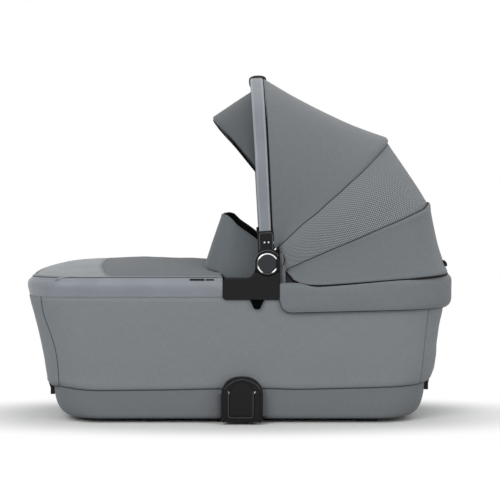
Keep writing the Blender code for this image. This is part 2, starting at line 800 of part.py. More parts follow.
def make_tray(finish):
    """The moulded tray, with vents through its floor."""
    inset = SKIRT_FABRIC + GAP
    outer = skirt_levels(inset, GAP)
    end = SKIRT_TUCK_END + inset + TRAY_LOW
    side = SKIRT_TUCK_SIDE + inset + TRAY_LOW
    outer.append(plan_loop(SKIRT_FOOT - end, SKIRT_HEAD - end,
                           SKIRT_HALF_WIDTH - side, SKIRT_CORNER - inset, TRAY_LOW))
    inner = skirt_levels(inset + TRAY_WALL, GAP)[:-1]
    end = SKIRT_TUCK_END + inset + TRAY_WALL
    side = SKIRT_TUCK_SIDE + inset + TRAY_WALL
    inner.append(plan_loop(SKIRT_FOOT - end, SKIRT_HEAD - end,
                           SKIRT_HALF_WIDTH - side, SKIRT_CORNER - inset - TRAY_WALL,
                           TRAY_LOW + TRAY_FLOOR))
    tray = ring_solid("base_tray", list(reversed(outer)) + inner, finish)
    for row in (-1, 1):
        for i in range(VENT_COUNT):
            x = (i - (VENT_COUNT - 1) / 2) * VENT_PITCH
            y = row * VENT_ROW
            low = (x - VENT_LENGTH / 2, y - VENT_WIDTH / 2, TRAY_LOW - OVERRUN)
            high = (x + VENT_LENGTH / 2, y + VENT_WIDTH / 2, TRAY_LOW + TRAY_FLOOR + OVERRUN)
            cut(tray, block(f"vent_cutter_{row}_{i}", low, high, None))
    return tray


def make_skirt(finish):
    """The fabric cover round the tray, notched for the two adaptors."""
    outer = skirt_levels(0.0, 0.0)
    inner = skirt_levels(SKIRT_FABRIC, 0.0)
    skirt = ring_solid("base_skirt", outer + list(reversed(inner)), finish, closed=True)
    half = ADAPTOR_WIDTH / 2 + GAP
    top = ADAPTOR_BLOCK_TOP + GAP
    outline = [(ADAPTOR_X - half, -OVERRUN), (ADAPTOR_X + half, -OVERRUN),
               (ADAPTOR_X + half, top), (ADAPTOR_X - half, top)]
    reach = SKIRT_HALF_WIDTH + OVERRUN
    cut(skirt, prism("skirt_notch_cutter", outline, -reach, reach, None))
    return skirt


def make_tub(finish):
    """The fabric wall, which turns under into the seam at its foot."""
    top = RIM_LOW - GAP
    turn = TUB_LOW - SEAM_FOOT

    def loops(inset):
        made = []
        for share in TURN_SHARES:
            out = math.sqrt(1 - (1 - share) ** 2)
            foot = SKIRT_FOOT + (TUB_LOW_FOOT - SKIRT_FOOT) * out
            head = SKIRT_HEAD + (TUB_LOW_HEAD - SKIRT_HEAD) * out
            half = SKIRT_HALF_WIDTH + (TUB_LOW_HALF_WIDTH - SKIRT_HALF_WIDTH) * out

            def level(x, share=share):
                return seam_height(x) + GAP + turn * share

            made.append(plan_loop(foot - inset, head - inset, half - inset,
                                  SKIRT_CORNER - inset, level))
        for share in (0.0, 0.5, 1.0):
            rim_foot = RIM_FOOT - TUB_INSET + GAP
            belly = TUB_BELLY * math.sin(math.pi * share)
            foot = TUB_LOW_FOOT + (rim_foot - TUB_LOW_FOOT) * share + belly
            head = TUB_LOW_HEAD + (TUB_HEAD - TUB_LOW_HEAD) * share + belly
            wide = RIM_HALF_WIDTH - TUB_INSET
            half = TUB_LOW_HALF_WIDTH + (wide - TUB_LOW_HALF_WIDTH) * share
            corner = TUB_LOW_CORNER + (RIM_CORNER - TUB_LOW_CORNER) * share

            def level(x, share=share):
                low = seam_height(x) + turn
                return low + (top - low) * share

            made.append(plan_loop(foot - inset, head - inset, half - inset,
                                  corner - inset, level))
        return made

    rings = loops(0.0) + list(reversed(loops(TUB_FABRIC)))
    tub = ring_solid("tub_cover", rings, finish, closed=True)
    cut(tub, block("tub_notch_cutter", (BRACKET_FRONT - GAP, -RIM_HALF_WIDTH, BRACKET_LOW - GAP),
                   (BRACKET_BACK + GAP, RIM_HALF_WIDTH, RIM_LOW + OVERRUN), None))
    return tub


def make_liner(finish):
    """The inner fabric wall, hung inside the two stays."""
    def loops(inset):
        made = []
        for share in (0.0, 0.5, 1.0):
            end = LINER_LOW_END + (LINER_TOP_END - LINER_LOW_END) * share - inset
            half = LINER_LOW_HALF_WIDTH + (LINER_TOP_HALF_WIDTH - LINER_LOW_HALF_WIDTH) * share
            height = LINER_LOW + (LINER_TOP - LINER_LOW) * share
            made.append(plan_loop(end, end, half - inset, LINER_CORNER - inset, height))
        return made

    rings = loops(0.0) + list(reversed(loops(LINER_FABRIC)))
    return ring_solid("tub_liner", rings, finish, closed=True)


def make_mattress(finish):
    """A crowned pad whose edge is drawn in at its two piped seams."""
    low = TRAY_LOW + TRAY_FLOOR + GAP
    shares = ((0.0, 2.2), (0.12, 0.35), (0.50, 0.0), (0.86, 0.35), (0.97, 2.2), (1.08, 14.0))
    half_length, half_width = MATTRESS_HALF_LENGTH, MATTRESS_HALF_WIDTH
    rings = []
    for up_share, draw_share in shares:
        inset = MATTRESS_DRAW * draw_share
        corner = max(MATTRESS_CORNER - inset, MATTRESS_DRAW)
        rings.append(plan_loop(half_length - inset, half_length - inset,
                               half_width - inset, corner, low + MATTRESS_THICK * up_share))
    return ring_solid("mattress", rings, finish)


def make_feet(finish):
    for end, x in (("foot", -FOOT_PAD_AT_FOOT), ("head", FOOT_PAD_AT_HEAD)):
        for side, sign in SIDES.items():
            y = sign * FOOT_PAD_ACROSS
            draw_share = 0.9
            rings = []
            for share, z in ((draw_share, 0.0), (1.0, TRAY_LOW / 3), (1.0, TRAY_LOW - GAP)):
                outline = rounded_section(FOOT_PAD_LENGTH * share, FOOT_PAD_WIDTH * share,
                                          FOOT_PAD_WIDTH * share / 3)
                rings.append([Vector((x + a, y + b, z)) for a, b in outline])
            ring_solid(f"foot_pad_{end}_{side}", rings, finish)


def make_end_loops(finish):
    """Webbing loops sewn to the tub's two ends, each with a block at its foot."""
    turn = TUB_LOW - SEAM_FOOT
    out = math.sqrt(1 - (1 - TURN_SHARES[-1]) ** 2)
    for end, way in ENDS.items():
        skirt = SKIRT_FOOT if way < 0 else SKIRT_HEAD
        tub = TUB_LOW_FOOT if way < 0 else TUB_LOW_HEAD
        seam = seam_height(way * skirt)
        top = seam + GAP + turn * TURN_SHARES[-1]
        hung = skirt + (tub - skirt) * out + GAP
        block_top, block_low = seam - LOOP_BLOCK_TOP, seam - LOOP_BLOCK_DROP
        seat = skirt_wall(way, 0.0, block_top, 0.0) + GAP
        outline = [(hung, top), (hung + LOOP_THICK, top), (seat + LOOP_BLOCK_THICK, block_top),
                   (seat + LOOP_BLOCK_THICK, block_low), (seat, block_low), (seat, block_top)]
        for side, sign in SIDES.items():
            y = sign * LOOP_ACROSS
            prism(f"end_loop_{end}_{side}", [(way * x, z) for x, z in outline],
                  y - LOOP_WIDTH / 2, y + LOOP_WIDTH / 2, finish)


def hinge_half_width():
    return STAY_EYE_WIDTH / 2 + CHEEK + GAP


def stay_pivot(way):
    """The pivot, set from the tray's inner wall that the hinge is riveted to."""
    inset = SKIRT_FABRIC + GAP + TRAY_WALL
    wall = skirt_wall(way, STAY_ACROSS + hinge_half_width(), HINGE_LOW, inset)
    return wall - GAP - HINGE_BACK, STAY_PIVOT_Z


def stay_rest(way):
    """Where a stay's top bar bears: on the moulding's lip, or under the rear rail."""
    if way < 0:
        return RIM_FOOT - RIM_DEPTH - STAY_TUBE - GAP, RIM_LOW + RIM_WALL / 2
    apart = TUBE + STAY_TUBE + GAP
    return (TUB_HEAD - TUBE - apart * math.cos(STAY_REST_SLOPE),
            RIM_MIDDLE - apart * math.sin(STAY_REST_SLOPE))


def make_stays(finish, hinge_finish):
    """The two folding stays that hold the rim up, and their clevis blocks."""
    for end, way in ENDS.items():
        (pivot_x, pivot_z), (rest_x, rest_z) = stay_pivot(way), stay_rest(way)
        length = math.hypot(rest_x - pivot_x, rest_z - pivot_z)
        lean = way * math.atan2(rest_x - pivot_x, rest_z - pivot_z)
        centre = (way * pivot_x, pivot_z)

        def place(along, y, thick, centre=centre, lean=lean, way=way):
            return in_plane(centre, lean, along, way * thick, y)

        def path(offset, length=length):
            return u_path(STAY_PADDLE - STAY_TUBE, length + offset, STAY_ACROSS + offset,
                          STAY_CORNER + offset, 1)

        stay = u_solid(f"{end}_stay", round_section(STAY_TUBE, 8), path, place, finish)
        for side, sign in SIDES.items():
            y = sign * STAY_ACROSS
            half = STAY_EYE_WIDTH / 2
            name = f"{end}_stay_eye_{side}"
            join(stay, cylinder(name, STAY_EYE, y - half, y + half, centre, steps=16))
            corners = ((0.0, -1.0), (1.0, -1.0), (1.0, 1.0), (0.0, 1.0))
            flat = [place(along * STAY_PADDLE, 0.0, aside * STAY_PADDLE_HALF)
                    for along, aside in corners]
            half -= GAP / 2
            join(stay, prism(f"{end}_stay_paddle_{side}", [(p.x, p.z) for p in flat],
                             y - half, y + half, None))
        for side, sign in SIDES.items():
            y = sign * STAY_ACROSS
            half = hinge_half_width()
            name = f"{end}_stay_bore_{side}"
            cut(stay, cylinder(name, STAY_PIN + GAP, y - half, y + half, centre, steps=12))
            make_hinge(f"stay_hinge_{end}_{side}", way, centre, y, hinge_finish)


def make_hinge(name, way, centre, y, finish):
    """A clevis on the tray's wall: a base, two cheeks and the pin across them."""
    back = centre[0] + way * HINGE_BACK
    front = back - way * HINGE_DEPTH
    half = hinge_half_width()
    low, high = min(back, front), max(back, front)
    hinge = block(name, (low, y - half, HINGE_LOW), (high, y + half, HINGE_TOP), finish)
    slot = STAY_EYE_WIDTH / 2 + GAP
    cut(hinge, block(f"{name}_slot_cutter", (low - OVERRUN, y - slot, HINGE_BASE_TOP),
                     (high + OVERRUN, y + slot, HINGE_TOP + OVERRUN), None))
    reach = slot + CHEEK / 2
    join(hinge, cylinder(f"{name}_pin", STAY_PIN, y - reach, y + reach, centre, steps=12))


def pointed_arch(centre, width, low, shoulder, apex, corner):
    """An outline with a flat foot, straight sides and a pointed round top."""
    half = width / 2
    outline = arc((centre + half - corner, low + corner), corner, -90, 0, 3)
    steps = 6
    for i in range(steps + 1):
        angle = math.pi / 2 * i / steps
        lean_share = 0.85
        x = half * math.cos(angle) ** lean_share
        outline.append((centre + x, shoulder + (apex - shoulder) * math.sin(angle)))
    for x, z in list(reversed(outline))[1:]:
        outline.append((2 * centre - x, z))
    return outline


def make_adaptors(finish, button_finish):
    """Chassis adaptors: a pointed housing, a downward socket and a press panel."""
    for side, sign in SIDES.items():
        corner = ADAPTOR_BORDER
        outline = pointed_arch(ADAPTOR_X, ADAPTOR_WIDTH, ADAPTOR_LOW, ADAPTOR_SHOULDER,
                               ADAPTOR_APEX, corner)
        ordered = sorted((sign * ADAPTOR_IN, sign * ADAPTOR_OUT))
        housing = prism(f"adaptor_{side}", outline, *ordered, finish)
        chamfer(housing, CHAMFER)
        half = ADAPTOR_WIDTH / 2 - corner
        inner = SKIRT_HALF_WIDTH - SKIRT_FABRIC
        ordered = sorted((sign * inner, sign * (ADAPTOR_IN + corner)))
        join(housing, block(f"adaptor_block_{side}",
                            (ADAPTOR_X - half, ordered[0], ADAPTOR_LOW + GAP),
                            (ADAPTOR_X + half, ordered[1], ADAPTOR_BLOCK_TOP), None))
        face = pointed_arch(ADAPTOR_X, ADAPTOR_WIDTH - 2 * ADAPTOR_BORDER,
                            ADAPTOR_LOW + ADAPTOR_BORDER, ADAPTOR_SHOULDER,
                            ADAPTOR_APEX - ADAPTOR_BORDER, corner)
        ordered = sorted((sign * (ADAPTOR_OUT - ADAPTOR_RIM), sign * (ADAPTOR_OUT + OVERRUN)))
        cut(housing, prism(f"adaptor_face_cutter_{side}", face, *ordered, None))
        pocket = pointed_arch(ADAPTOR_X, BUTTON_WIDTH + 2 * GAP, BUTTON_LOW - GAP,
                              BUTTON_SHOULDER, BUTTON_APEX + GAP, corner)
        floor = ADAPTOR_OUT - BUTTON_THICK - BUTTON_TRAVEL
        ordered = sorted((sign * floor, sign * (ADAPTOR_OUT + OVERRUN)))
        cut(housing, prism(f"adaptor_pocket_cutter_{side}", pocket, *ordered, None))
        ordered = sorted((sign * SLOT_IN, sign * SLOT_OUT))
        cut(housing, block(f"adaptor_slot_cutter_{side}",
                           (ADAPTOR_X - SLOT_WIDTH / 2, ordered[0], ADAPTOR_LOW - OVERRUN),
                           (ADAPTOR_X + SLOT_WIDTH / 2, ordered[1], SLOT_DEPTH), None))
        panel = pointed_arch(ADAPTOR_X, BUTTON_WIDTH, BUTTON_LOW, BUTTON_SHOULDER,
                             BUTTON_APEX, corner)
        ordered = sorted((sign * (ADAPTOR_OUT - BUTTON_THICK), sign * ADAPTOR_OUT))
        button = prism(f"adaptor_button_{side}", panel, *ordered, button_finish)
        chamfer(button, FINE_CHAMFER)


def make_rim(rim_finish, tube_finish):
    """The foot half of the rim: a C-shaped moulding round a steel tube."""
    half_depth, half_height = RIM_DEPTH / 2, RIM_HEIGHT / 2
    shares = ((-1.0, 1.0), (0.10, 1.0), (0.55, 0.90), (0.88, 0.60), (1.0, 0.15),
              (0.96, -0.40), (0.75, -0.80), (0.30, -1.0), (-1.0, -1.0))
    wall = RIM_WALL
    section = [(a * half_depth, b * half_height) for a, b in shares]
    inner = [(a * (half_depth - wall), b * (half_height - wall)) for a, b in shares[1:-1]]
    inner = [(-half_depth, half_height - wall)] + inner + [(-half_depth, wall - half_height)]
    section += list(reversed(inner))
    front = BRACKET_FRONT - GAP

    def path(offset):
        out = offset - half_depth
        return u_path(front, -RIM_FOOT - out, RIM_HALF_WIDTH + out, RIM_CORNER + out)

    def place(x, y, height):
        return Vector((x, y, RIM_MIDDLE + height))

    u_solid("rim_moulding", section, path, place, rim_finish)
    end = RIM_FOOT - TUBE_INSET
    u_solid("rim_tube", round_section(TUBE),
            lambda out: u_path(front + TUBE_PLUG, -end - out, TUBE_ACROSS + out,
                               TUBE_CORNER + out), place, tube_finish)
    head = TUB_HEAD - TUBE
    u_solid("rear_rail", round_section(TUBE),
            lambda out: u_path(BRACKET_BACK - TUBE_PLUG, head + out, TUBE_ACROSS + out,
                               TUBE_CORNER + out), place, tube_finish)


def make_bumper(finish):
    """The padded band over the rear rail, open inside where the rail lies."""
    steps = 5
    start = BRACKET_BACK + GAP

    def outer(draw_share):
        end, side = BUMPER_DRAW_END * draw_share, BUMPER_DRAW_SIDE * draw_share
        return u_path(start, BUMPER_HEAD - end, BUMPER_HALF_WIDTH - side, BUMPER_CORNER - side, steps)

    inner = u_path(start, TUB_HEAD + 2 * GAP, RIM_HALF_WIDTH - TUB_INSET + 2 * GAP,
                   RIM_CORNER + 2 * GAP, steps)
    rail = u_path(start, TUB_HEAD + GAP, TUBE_ACROSS + TUBE + GAP,
                  TUBE_CORNER + TUBE + GAP, steps)
    bulge = u_path(start, BUMPER_HEAD + BUMPER_BULGE, BUMPER_HALF_WIDTH + BUMPER_BULGE,
                   BUMPER_CORNER + BUMPER_BULGE, steps)
    step = RIM_LOW + GAP
    turns = [math.radians(angle) for angle in (0, 30, 60, 90)]
    table = [(1 - math.sin(turn), 1 - math.cos(turn)) for turn in turns]
    lines = [[Vector((x, y, bumper_low(x) + BUMPER_LIP)) for x, y in inner]]
    for draw_share, up_share in table:
        lines.append([Vector((x, y, bumper_low(x) + BUMPER_ROUND_LOW * up_share))
                      for x, y in outer(draw_share)])
    lines.append([Vector((x, y, (bumper_low(x) + bumper_top(x)) / 2)) for x, y in bulge])
    for draw_share, up_share in reversed(table):
        lines.append([Vector((x, y, bumper_top(x) - BUMPER_ROUND_TOP * up_share))
                      for x, y in outer(draw_share)])
    lines.append([Vector((x, y, bumper_top(x) - BUMPER_LIP)) for x, y in rail])
    lines.append([Vector((x, y, RIM_LOW + RIM_HEIGHT / 4)) for x, y in rail])
    lines.append([Vector((x, y, step)) for x, y in inner])
    bumper = ring_solid("rear_bumper", transpose(lines), finish)
    low, turn = BUMPER_LOW, BUMPER_FRONT_ROUND
    outline = [(start - OVERRUN, low - OVERRUN), (start + turn, low - OVERRUN)]
    outline += arc((start + turn, low + turn), turn, 270, 180, 6)
    outline.append((start - OVERRUN, low + turn))
    reach = BUMPER_HALF_WIDTH + BUMPER_BULGE + OVERRUN
    cut(bumper, prism("bumper_corner_cutter", outline, -reach, reach, None))
    return bumper


def bracket_outline():
    """The bracket's side view: a bar, a filleted neck and the round hub."""
    low, top = BRACKET_LOW, BRACKET_TOP
    corner = BRACKET_CORNER
    outline = [(BRACKET_BACK, low)]
    outline.append((BRACKET_BACK, AXIS_Z))
    outline += arc(AXIS, HUB, 10, 180, 14)
    fillet = (AXIS_X - HUB - BRACKET_FILLET, top + BRACKET_FILLET)
    outline += arc(fillet, BRACKET_FILLET, 0, -90, 5)
    outline += arc((BRACKET_FRONT + corner, top - corner), corner, 90, 180, 3)
    outline += arc((BRACKET_FRONT + corner, low + corner), corner, 180, 270, 3)
    return outline


def make_brackets(finish, steel_finish):
    """Side brackets, the tongues under them and the pins that the hood turns on."""
    for side, sign in SIDES.items():
        ordered = sorted((sign * BRACKET_IN, sign * BRACKET_OUT))
        bracket = prism(f"bracket_{side}", bracket_outline(), *ordered, finish)
        chamfer(bracket, CHAMFER)
        ordered = sorted((sign * PARTING, sign * (BRACKET_OUT + OVERRUN)))
        name = f"hub_recess_cutter_{side}"
        cut(bracket, cylinder(name, HUB + 3 * GAP, *ordered, AXIS, steps=32))
        shelf = AXIS_Z - SOCKET_WIDTH / 2 - BRACKET_CORNER / 3
        cut(bracket, block(f"hub_shelf_cutter_{side}",
                           (AXIS_X - HUB - BRACKET_CORNER, ordered[0], shelf),
                           (BRACKET_BACK + OVERRUN, ordered[1], AXIS_Z + HUB + OVERRUN), None))
        ordered = sorted((sign * (BRACKET_IN - OVERRUN), sign * (PARTING + OVERRUN)))
        cut(bracket, cylinder(f"pin_bore_cutter_{side}", PIN + GAP, *ordered, AXIS, steps=16))
        for end, x in (("front", BRACKET_FRONT), ("back", BRACKET_BACK)):
            way = 1.0 if end == "front" else -1.0
            low = x - way * OVERRUN
            high = x + way * (TUBE_PLUG + 2 * GAP)
            bore = []
            for along in sorted((low, high)):
                ring = []
                for across, up in round_section(TUBE + GAP, 16):
                    ring.append(Vector((along, sign * TUBE_ACROSS + across, RIM_MIDDLE + up)))
                bore.append(ring)
            cut(bracket, ring_solid(f"tube_bore_cutter_{end}_{side}", bore, None))
        make_tongue(side, sign, finish)
        head = BRACKET_IN - 2 * RIB_THICK - 4 * GAP
        reach = PARTING + PIN_REACH
        profile = [(PIN_HEAD, sign * (head - PIN_HEAD_THICK)), (PIN_HEAD, sign * head),
                   (PIN, sign * head), (PIN, sign * reach)]
        turned(f"pivot_pin_{side}", profile, AXIS, steel_finish, 16)


def make_tongue(side, sign, finish):
    low = BRACKET_LOW - TONGUE_DROP
    middle = (TONGUE_FRONT + TONGUE_BACK) / 2
    half = (TONGUE_BACK - TONGUE_FRONT) / 2
    corner = TONGUE_TAPER
    outline = [(TONGUE_FRONT, BRACKET_LOW - GAP)]
    outline += arc((middle - half + TONGUE_TAPER + corner, low + corner), corner, 190, 270, 3)
    outline += [(2 * middle - x, z) for x, z in reversed(outline)]
    outer = BRACKET_OUT - 3 * GAP
    ordered = sorted((sign * (outer - TONGUE_THICK), sign * outer))
    tongue = prism(f"bracket_tongue_{side}", outline, *ordered, finish)
    chamfer(tongue, FINE_CHAMFER)


def make_hubs(finish, knob_finish, ring_finish, rivet_finish):
    """The turning hubs with their sockets, rings, push knobs and rivets."""
    inner = PARTING + GAP
    outer = inner + SOCKET_THICK
    bow_middle = BOW_HALF_WIDTH
    for side, sign in SIDES.items():
        half = SOCKET_WIDTH / 2
        back, front = half - BOW_SET, half + BOW_SET
        first, last = math.asin(back / HUB), 2 * math.pi - math.asin(front / HUB)
        outline = [(SOCKET_TOP, back)]
        steps = 18
        for i in range(steps + 1):
            angle = first + (last - first) * i / steps
            outline.append((HUB * math.cos(angle), HUB * math.sin(angle)))
        outline.append((SOCKET_TOP, -front))
        placed = [in_plane(AXIS, BOW_ANGLE, r, aside, 0.0) for r, aside in outline]
        ordered = sorted((sign * inner, sign * outer))
        hub = prism(f"hood_hub_{side}", [(p.x, p.z) for p in placed], *ordered, finish)
        chamfer(hub, CHAMFER)
        front, back = -BOW_SET - BOW_FOOT_WIDTH / 2 - GAP, BOW_FOOT_WIDTH / 2 + GAP - BOW_SET
        foot, mouth = BOW_START - GAP, SOCKET_TOP + OVERRUN
        pocket = [(foot, front), (mouth, front), (mouth, back), (foot, back)]
        placed = [in_plane(AXIS, BOW_ANGLE, r, aside, 0.0) for r, aside in pocket]
        reach = BOW_THICK / 2 + GAP
        ordered = sorted((sign * (bow_middle - reach), sign * (bow_middle + reach)))
        cut(hub, prism(f"socket_pocket_cutter_{side}", [(p.x, p.z) for p in placed],
                       *ordered, None))
        floor = outer + KNOB_PROUD - KNOB_THICK - KNOB_TRAVEL - GAP
        ordered = sorted((sign * floor, sign * (outer + OVERRUN)))
        cut(hub, cylinder(f"knob_well_cutter_{side}", KNOB + GAP, *ordered, AXIS))
        ordered = sorted((sign * (inner - OVERRUN), sign * (PARTING + PIN_REACH + GAP)))
        cut(hub, cylinder(f"hub_bore_cutter_{side}", PIN + GAP, *ordered, AXIS, steps=16))
        for place, aside in (("front", -RIVET_APART / 2), ("back", RIVET_APART / 2)):
            spot = in_plane(AXIS, BOW_ANGLE, RIVET_AT, aside, 0.0)
            centre = (spot.x, spot.z)
            ordered = sorted((sign * (bow_middle + BOW_THICK / 2 - OVERRUN),
                              sign * (outer + OVERRUN)))
            name = f"rivet_bore_cutter_{place}_{side}"
            cut(hub, cylinder(name, RIVET + GAP, *ordered, centre, steps=8))
            profile = [(RIVET, sign * (bow_middle + BOW_THICK / 2 + GAP)),
                       (RIVET, sign * (outer + GAP)), (RIVET_HEAD, sign * (outer + GAP)),
                       (RIVET_HEAD, sign * (outer + 3 * GAP)), (RIVET_HEAD / 2, sign * (outer + 4 * GAP))]
            turned(f"rivet_{place}_{side}", profile, centre, rivet_finish, 8)
        face = sign * (outer + KNOB_PROUD)
        dish_share = 0.85
        profile = [(KNOB, face - sign * KNOB_THICK), (KNOB, face - sign * GAP),
                   (KNOB * dish_share, face), (KNOB * dish_share / 2, face - sign * GAP)]
        turned(f"hub_knob_{side}", profile, AXIS, knob_finish)
        washer(f"hub_ring_{side}", RING_IN, RING_OUT, sign * (outer + GAP),
               sign * (outer + GAP + RING_THICK), AXIS, ring_finish)


def bow_rings(curve, section):
    """Rings of a section of (outward, aside) along the bow, which narrows to its feet."""
    rings = []
    for y, r, ny, nr in curve:
        up = max((r - SOCKET_TOP) / (BOW_CROWN - SOCKET_TOP), 0.0)
        width = BOW_FOOT_WIDTH + (BOW_WIDTH - BOW_FOOT_WIDTH) * min(up, 1.0)
        ring = []
        for outward, aside in section:
            across = aside * width / BOW_WIDTH - BOW_SET
            ring.append(in_plane(AXIS, BOW_ANGLE, r + nr * outward, across, y + ny * outward))
        rings.append(ring)
    return rings


def make_bow(finish, grip_finish):
    """The flat handle bow and the sleeve on its crown."""
    curve = arch_curve(BOW_HALF_WIDTH, BOW_CROWN, BOW_LEG, BOW_POWER, BOW_START, 32)
    section = rounded_section(BOW_THICK, BOW_WIDTH, BOW_ROUND)
    ring_solid("handle_bow", bow_rings(curve, section), finish)
    top = crown_of(curve, GRIP_HALF_LENGTH)
    wall, side, under = GRIP_WALL, GRIP_SIDE, GRIP_UNDER
    inside = rounded_section(BOW_THICK + 2 * GAP, BOW_WIDTH + 2 * GAP, BOW_ROUND)
    outside = rounded_section(BOW_THICK + 2 * GAP + wall + under, BOW_WIDTH + 2 * (GAP + side),
                              BOW_ROUND + side)
    outside = [(outward + (wall - under) / 2, aside) for outward, aside in outside]
    ring_solid("handle_grip", bow_rings(top, outside) + list(reversed(bow_rings(top, inside))),
               grip_finish, closed=True)


def make_rib(name, angle, layer, crown, leg, power, finish):
    """A flat hood rib with an eye at each end, in its own layer inside the brackets."""
    outer = BRACKET_IN - GAP - layer * (RIB_THICK + GAP)
    middle = outer - RIB_THICK / 2
    start = RIB_EYE - GAP
    curve = arch_curve(middle, crown, leg, power, start, 20)
    half_thick, half_wide = RIB_THICK / 2, RIB_WIDTH / 2
    section = [(half_thick, -half_wide), (half_thick, half_wide),
               (-half_thick, half_wide), (-half_thick, -half_wide)]
    rib = arch_solid(name, AXIS, angle, curve, section, finish)
    for side, sign in SIDES.items():
        shave = GAP / 4
        ordered = sorted((sign * (outer - RIB_THICK + shave), sign * (outer - shave)))
        join(rib, cylinder(f"{name}_eye_{side}", RIB_EYE, *ordered, AXIS, steps=20))
    for side, sign in SIDES.items():
        ordered = sorted((sign * (outer - RIB_THICK - OVERRUN), sign * (outer + OVERRUN)))
        cut(rib, cylinder(f"{name}_bore_{side}", PIN + GAP, *ordered, AXIS, steps=16))


def hem_line(steps):
    """The hood's lower edge, just over the bumper, rising to a tip by the hub."""
    curve = arch_curve(HEM_HALF_WIDTH, HEM_HEAD - AXIS_X, HEM_LEG, HEM_POWER, HEM_START, steps)
    line = []
    for y, r, ny, nr in curve:
        x = AXIS_X + r
        rise_share = max(1 - (r - HEM_START) / HEM_RISE_LENGTH, 0.0) ** 3
        tuck_share = max(1 - (r - HEM_START) / HEM_TUCK_LENGTH, 0.0) ** 2
        z = bumper_top(x) + 4 * GAP + HEM_RISE * rise_share
        line.append(Vector((x, y - math.copysign(HEM_TUCK * tuck_share, y), z)))
    return line


def make_hood(hood_finish, mesh_finish):
    """The three fabric panels stretched between the bow, the ribs and the hem."""
    steps = ARCH_STEPS
    seam = HOOD_SEAM
    bow_start = SOCKET_WIDTH + GAP
    lead = arch_curve(BOW_HALF_WIDTH + HOOD_FABRIC / 2, BOW_CROWN + HOOD_FABRIC, BOW_LEG,
                      BOW_POWER, bow_start, steps)
    front = arch_line(AXIS, BOW_ANGLE, lead, SOCKET_WIDTH / 2 + HOOD_FABRIC)
    middle = arch_curve(MID_HALF_WIDTH, MID_CROWN, MID_LEG, MID_POWER, SOCKET_WIDTH + 2 * OVERRUN,
                        steps)
    rear = arch_curve(REAR_HALF_WIDTH, REAR_CROWN, REAR_LEG, REAR_POWER, HUB, steps)
    mid_front = arch_line(AXIS, MID_ANGLE, middle, -seam)
    mid_back = arch_line(AXIS, MID_ANGLE, middle, seam)
    under = arch_curve(REAR_HALF_WIDTH - MESH_TUCK, REAR_CROWN - MESH_TUCK, REAR_LEG, REAR_POWER, HUB,
                       steps)
    rear_front = arch_line(REAR_ORIGIN, REAR_ANGLE, under, -seam)
    rear_back = arch_line(REAR_ORIGIN, REAR_ANGLE, rear, seam)
    rows = PANEL_STEPS
    sheet("hood_front_panel", ruled_grid(front, mid_front, rows, HOOD_SAG, HOOD_MIDDLE),
          HOOD_FABRIC, hood_finish)
    sheet("hood_mesh_panel", ruled_grid(mid_back, rear_front, rows - 1, HOOD_MESH_SAG, HOOD_MIDDLE),
          HOOD_FABRIC, mesh_finish)
    sheet("hood_rear_panel",
          ruled_grid(rear_back, hem_line(steps), rows, HOOD_REAR_SAG, HOOD_MIDDLE),
          HOOD_FABRIC, hood_finish)


def make_tabs(finish):
    """Fabric tabs that tie the hood's lower corners to the bumper."""
    for side, sign in SIDES.items():
        inner = MID_HALF_WIDTH + 3 * GAP
        ordered = sorted((sign * inner, sign * (inner + TAB_THICK)))
        low = BUMPER_TOP_FRONT + GAP
        start = BRACKET_BACK + 2 * GAP
        block(f"hood_tab_{side}", (start, ordered[0], low),
              (start + TAB_WIDTH, ordered[1], low + TAB_HEIGHT), finish)


def apron_height(x, across_share):
    """Height of the apron's outer face, crowned across and falling at its foot."""
    foot = -(RIM_FOOT - RIM_DEPTH - GAP)
    along = min(max((x - foot) / APRON_RISE, 0.0), 1.0)
    rise_power, across_power = 4.5, 2.4
    rise = 1 - (1 - along) ** rise_power
    return APRON_EDGE + APRON_CROWN * rise * (1 - abs(across_share) ** across_power)


def apron_half_width(x):
    foot = -(RIM_FOOT - RIM_DEPTH - GAP)
    wide = RIM_HALF_WIDTH - RIM_DEPTH - GAP
    into = min(x - foot, APRON_CORNER)
    lost = APRON_CORNER - into
    return wide - APRON_CORNER + math.sqrt(APRON_CORNER ** 2 - lost ** 2)


def make_apron(finish):
    foot = -(RIM_FOOT - RIM_DEPTH - GAP)
    places = []
    steps = 5
    for i in range(steps + 1):
        angle = math.pi / 2 * i / steps
        places.append(foot + APRON_CORNER * (1 - math.cos(angle)))
    rest = 4
    for i in range(1, rest + 1):
        places.append(places[steps] + (APRON_BACK - places[steps]) * i / rest)
    columns = 16
    grid = []
    for x in places:
        row = []
        for j in range(columns + 1):
            across = math.sin(math.pi * (j / columns - 0.5))
            y = across * apron_half_width(x)
            row.append(Vector((x, y, apron_height(x, across))))
        grid.append(row)
    return sheet("apron", grid, APRON_THICK, finish)


def make_pullers(finish):
    for side, sign in SIDES.items():
        low = RIM_LOW + RIM_HEIGHT + GAP
        across = RIM_HALF_WIDTH - PULLER_INSET
        ordered = sorted((sign * across, sign * (across + PULLER_WIDTH)))
        puller = block(f"zip_puller_{side}", (PULLER_AT, ordered[0], low),
                       (PULLER_AT + PULLER_LENGTH, ordered[1], low + PULLER_THICK), finish)
        chamfer(puller, FINE_CHAMFER)


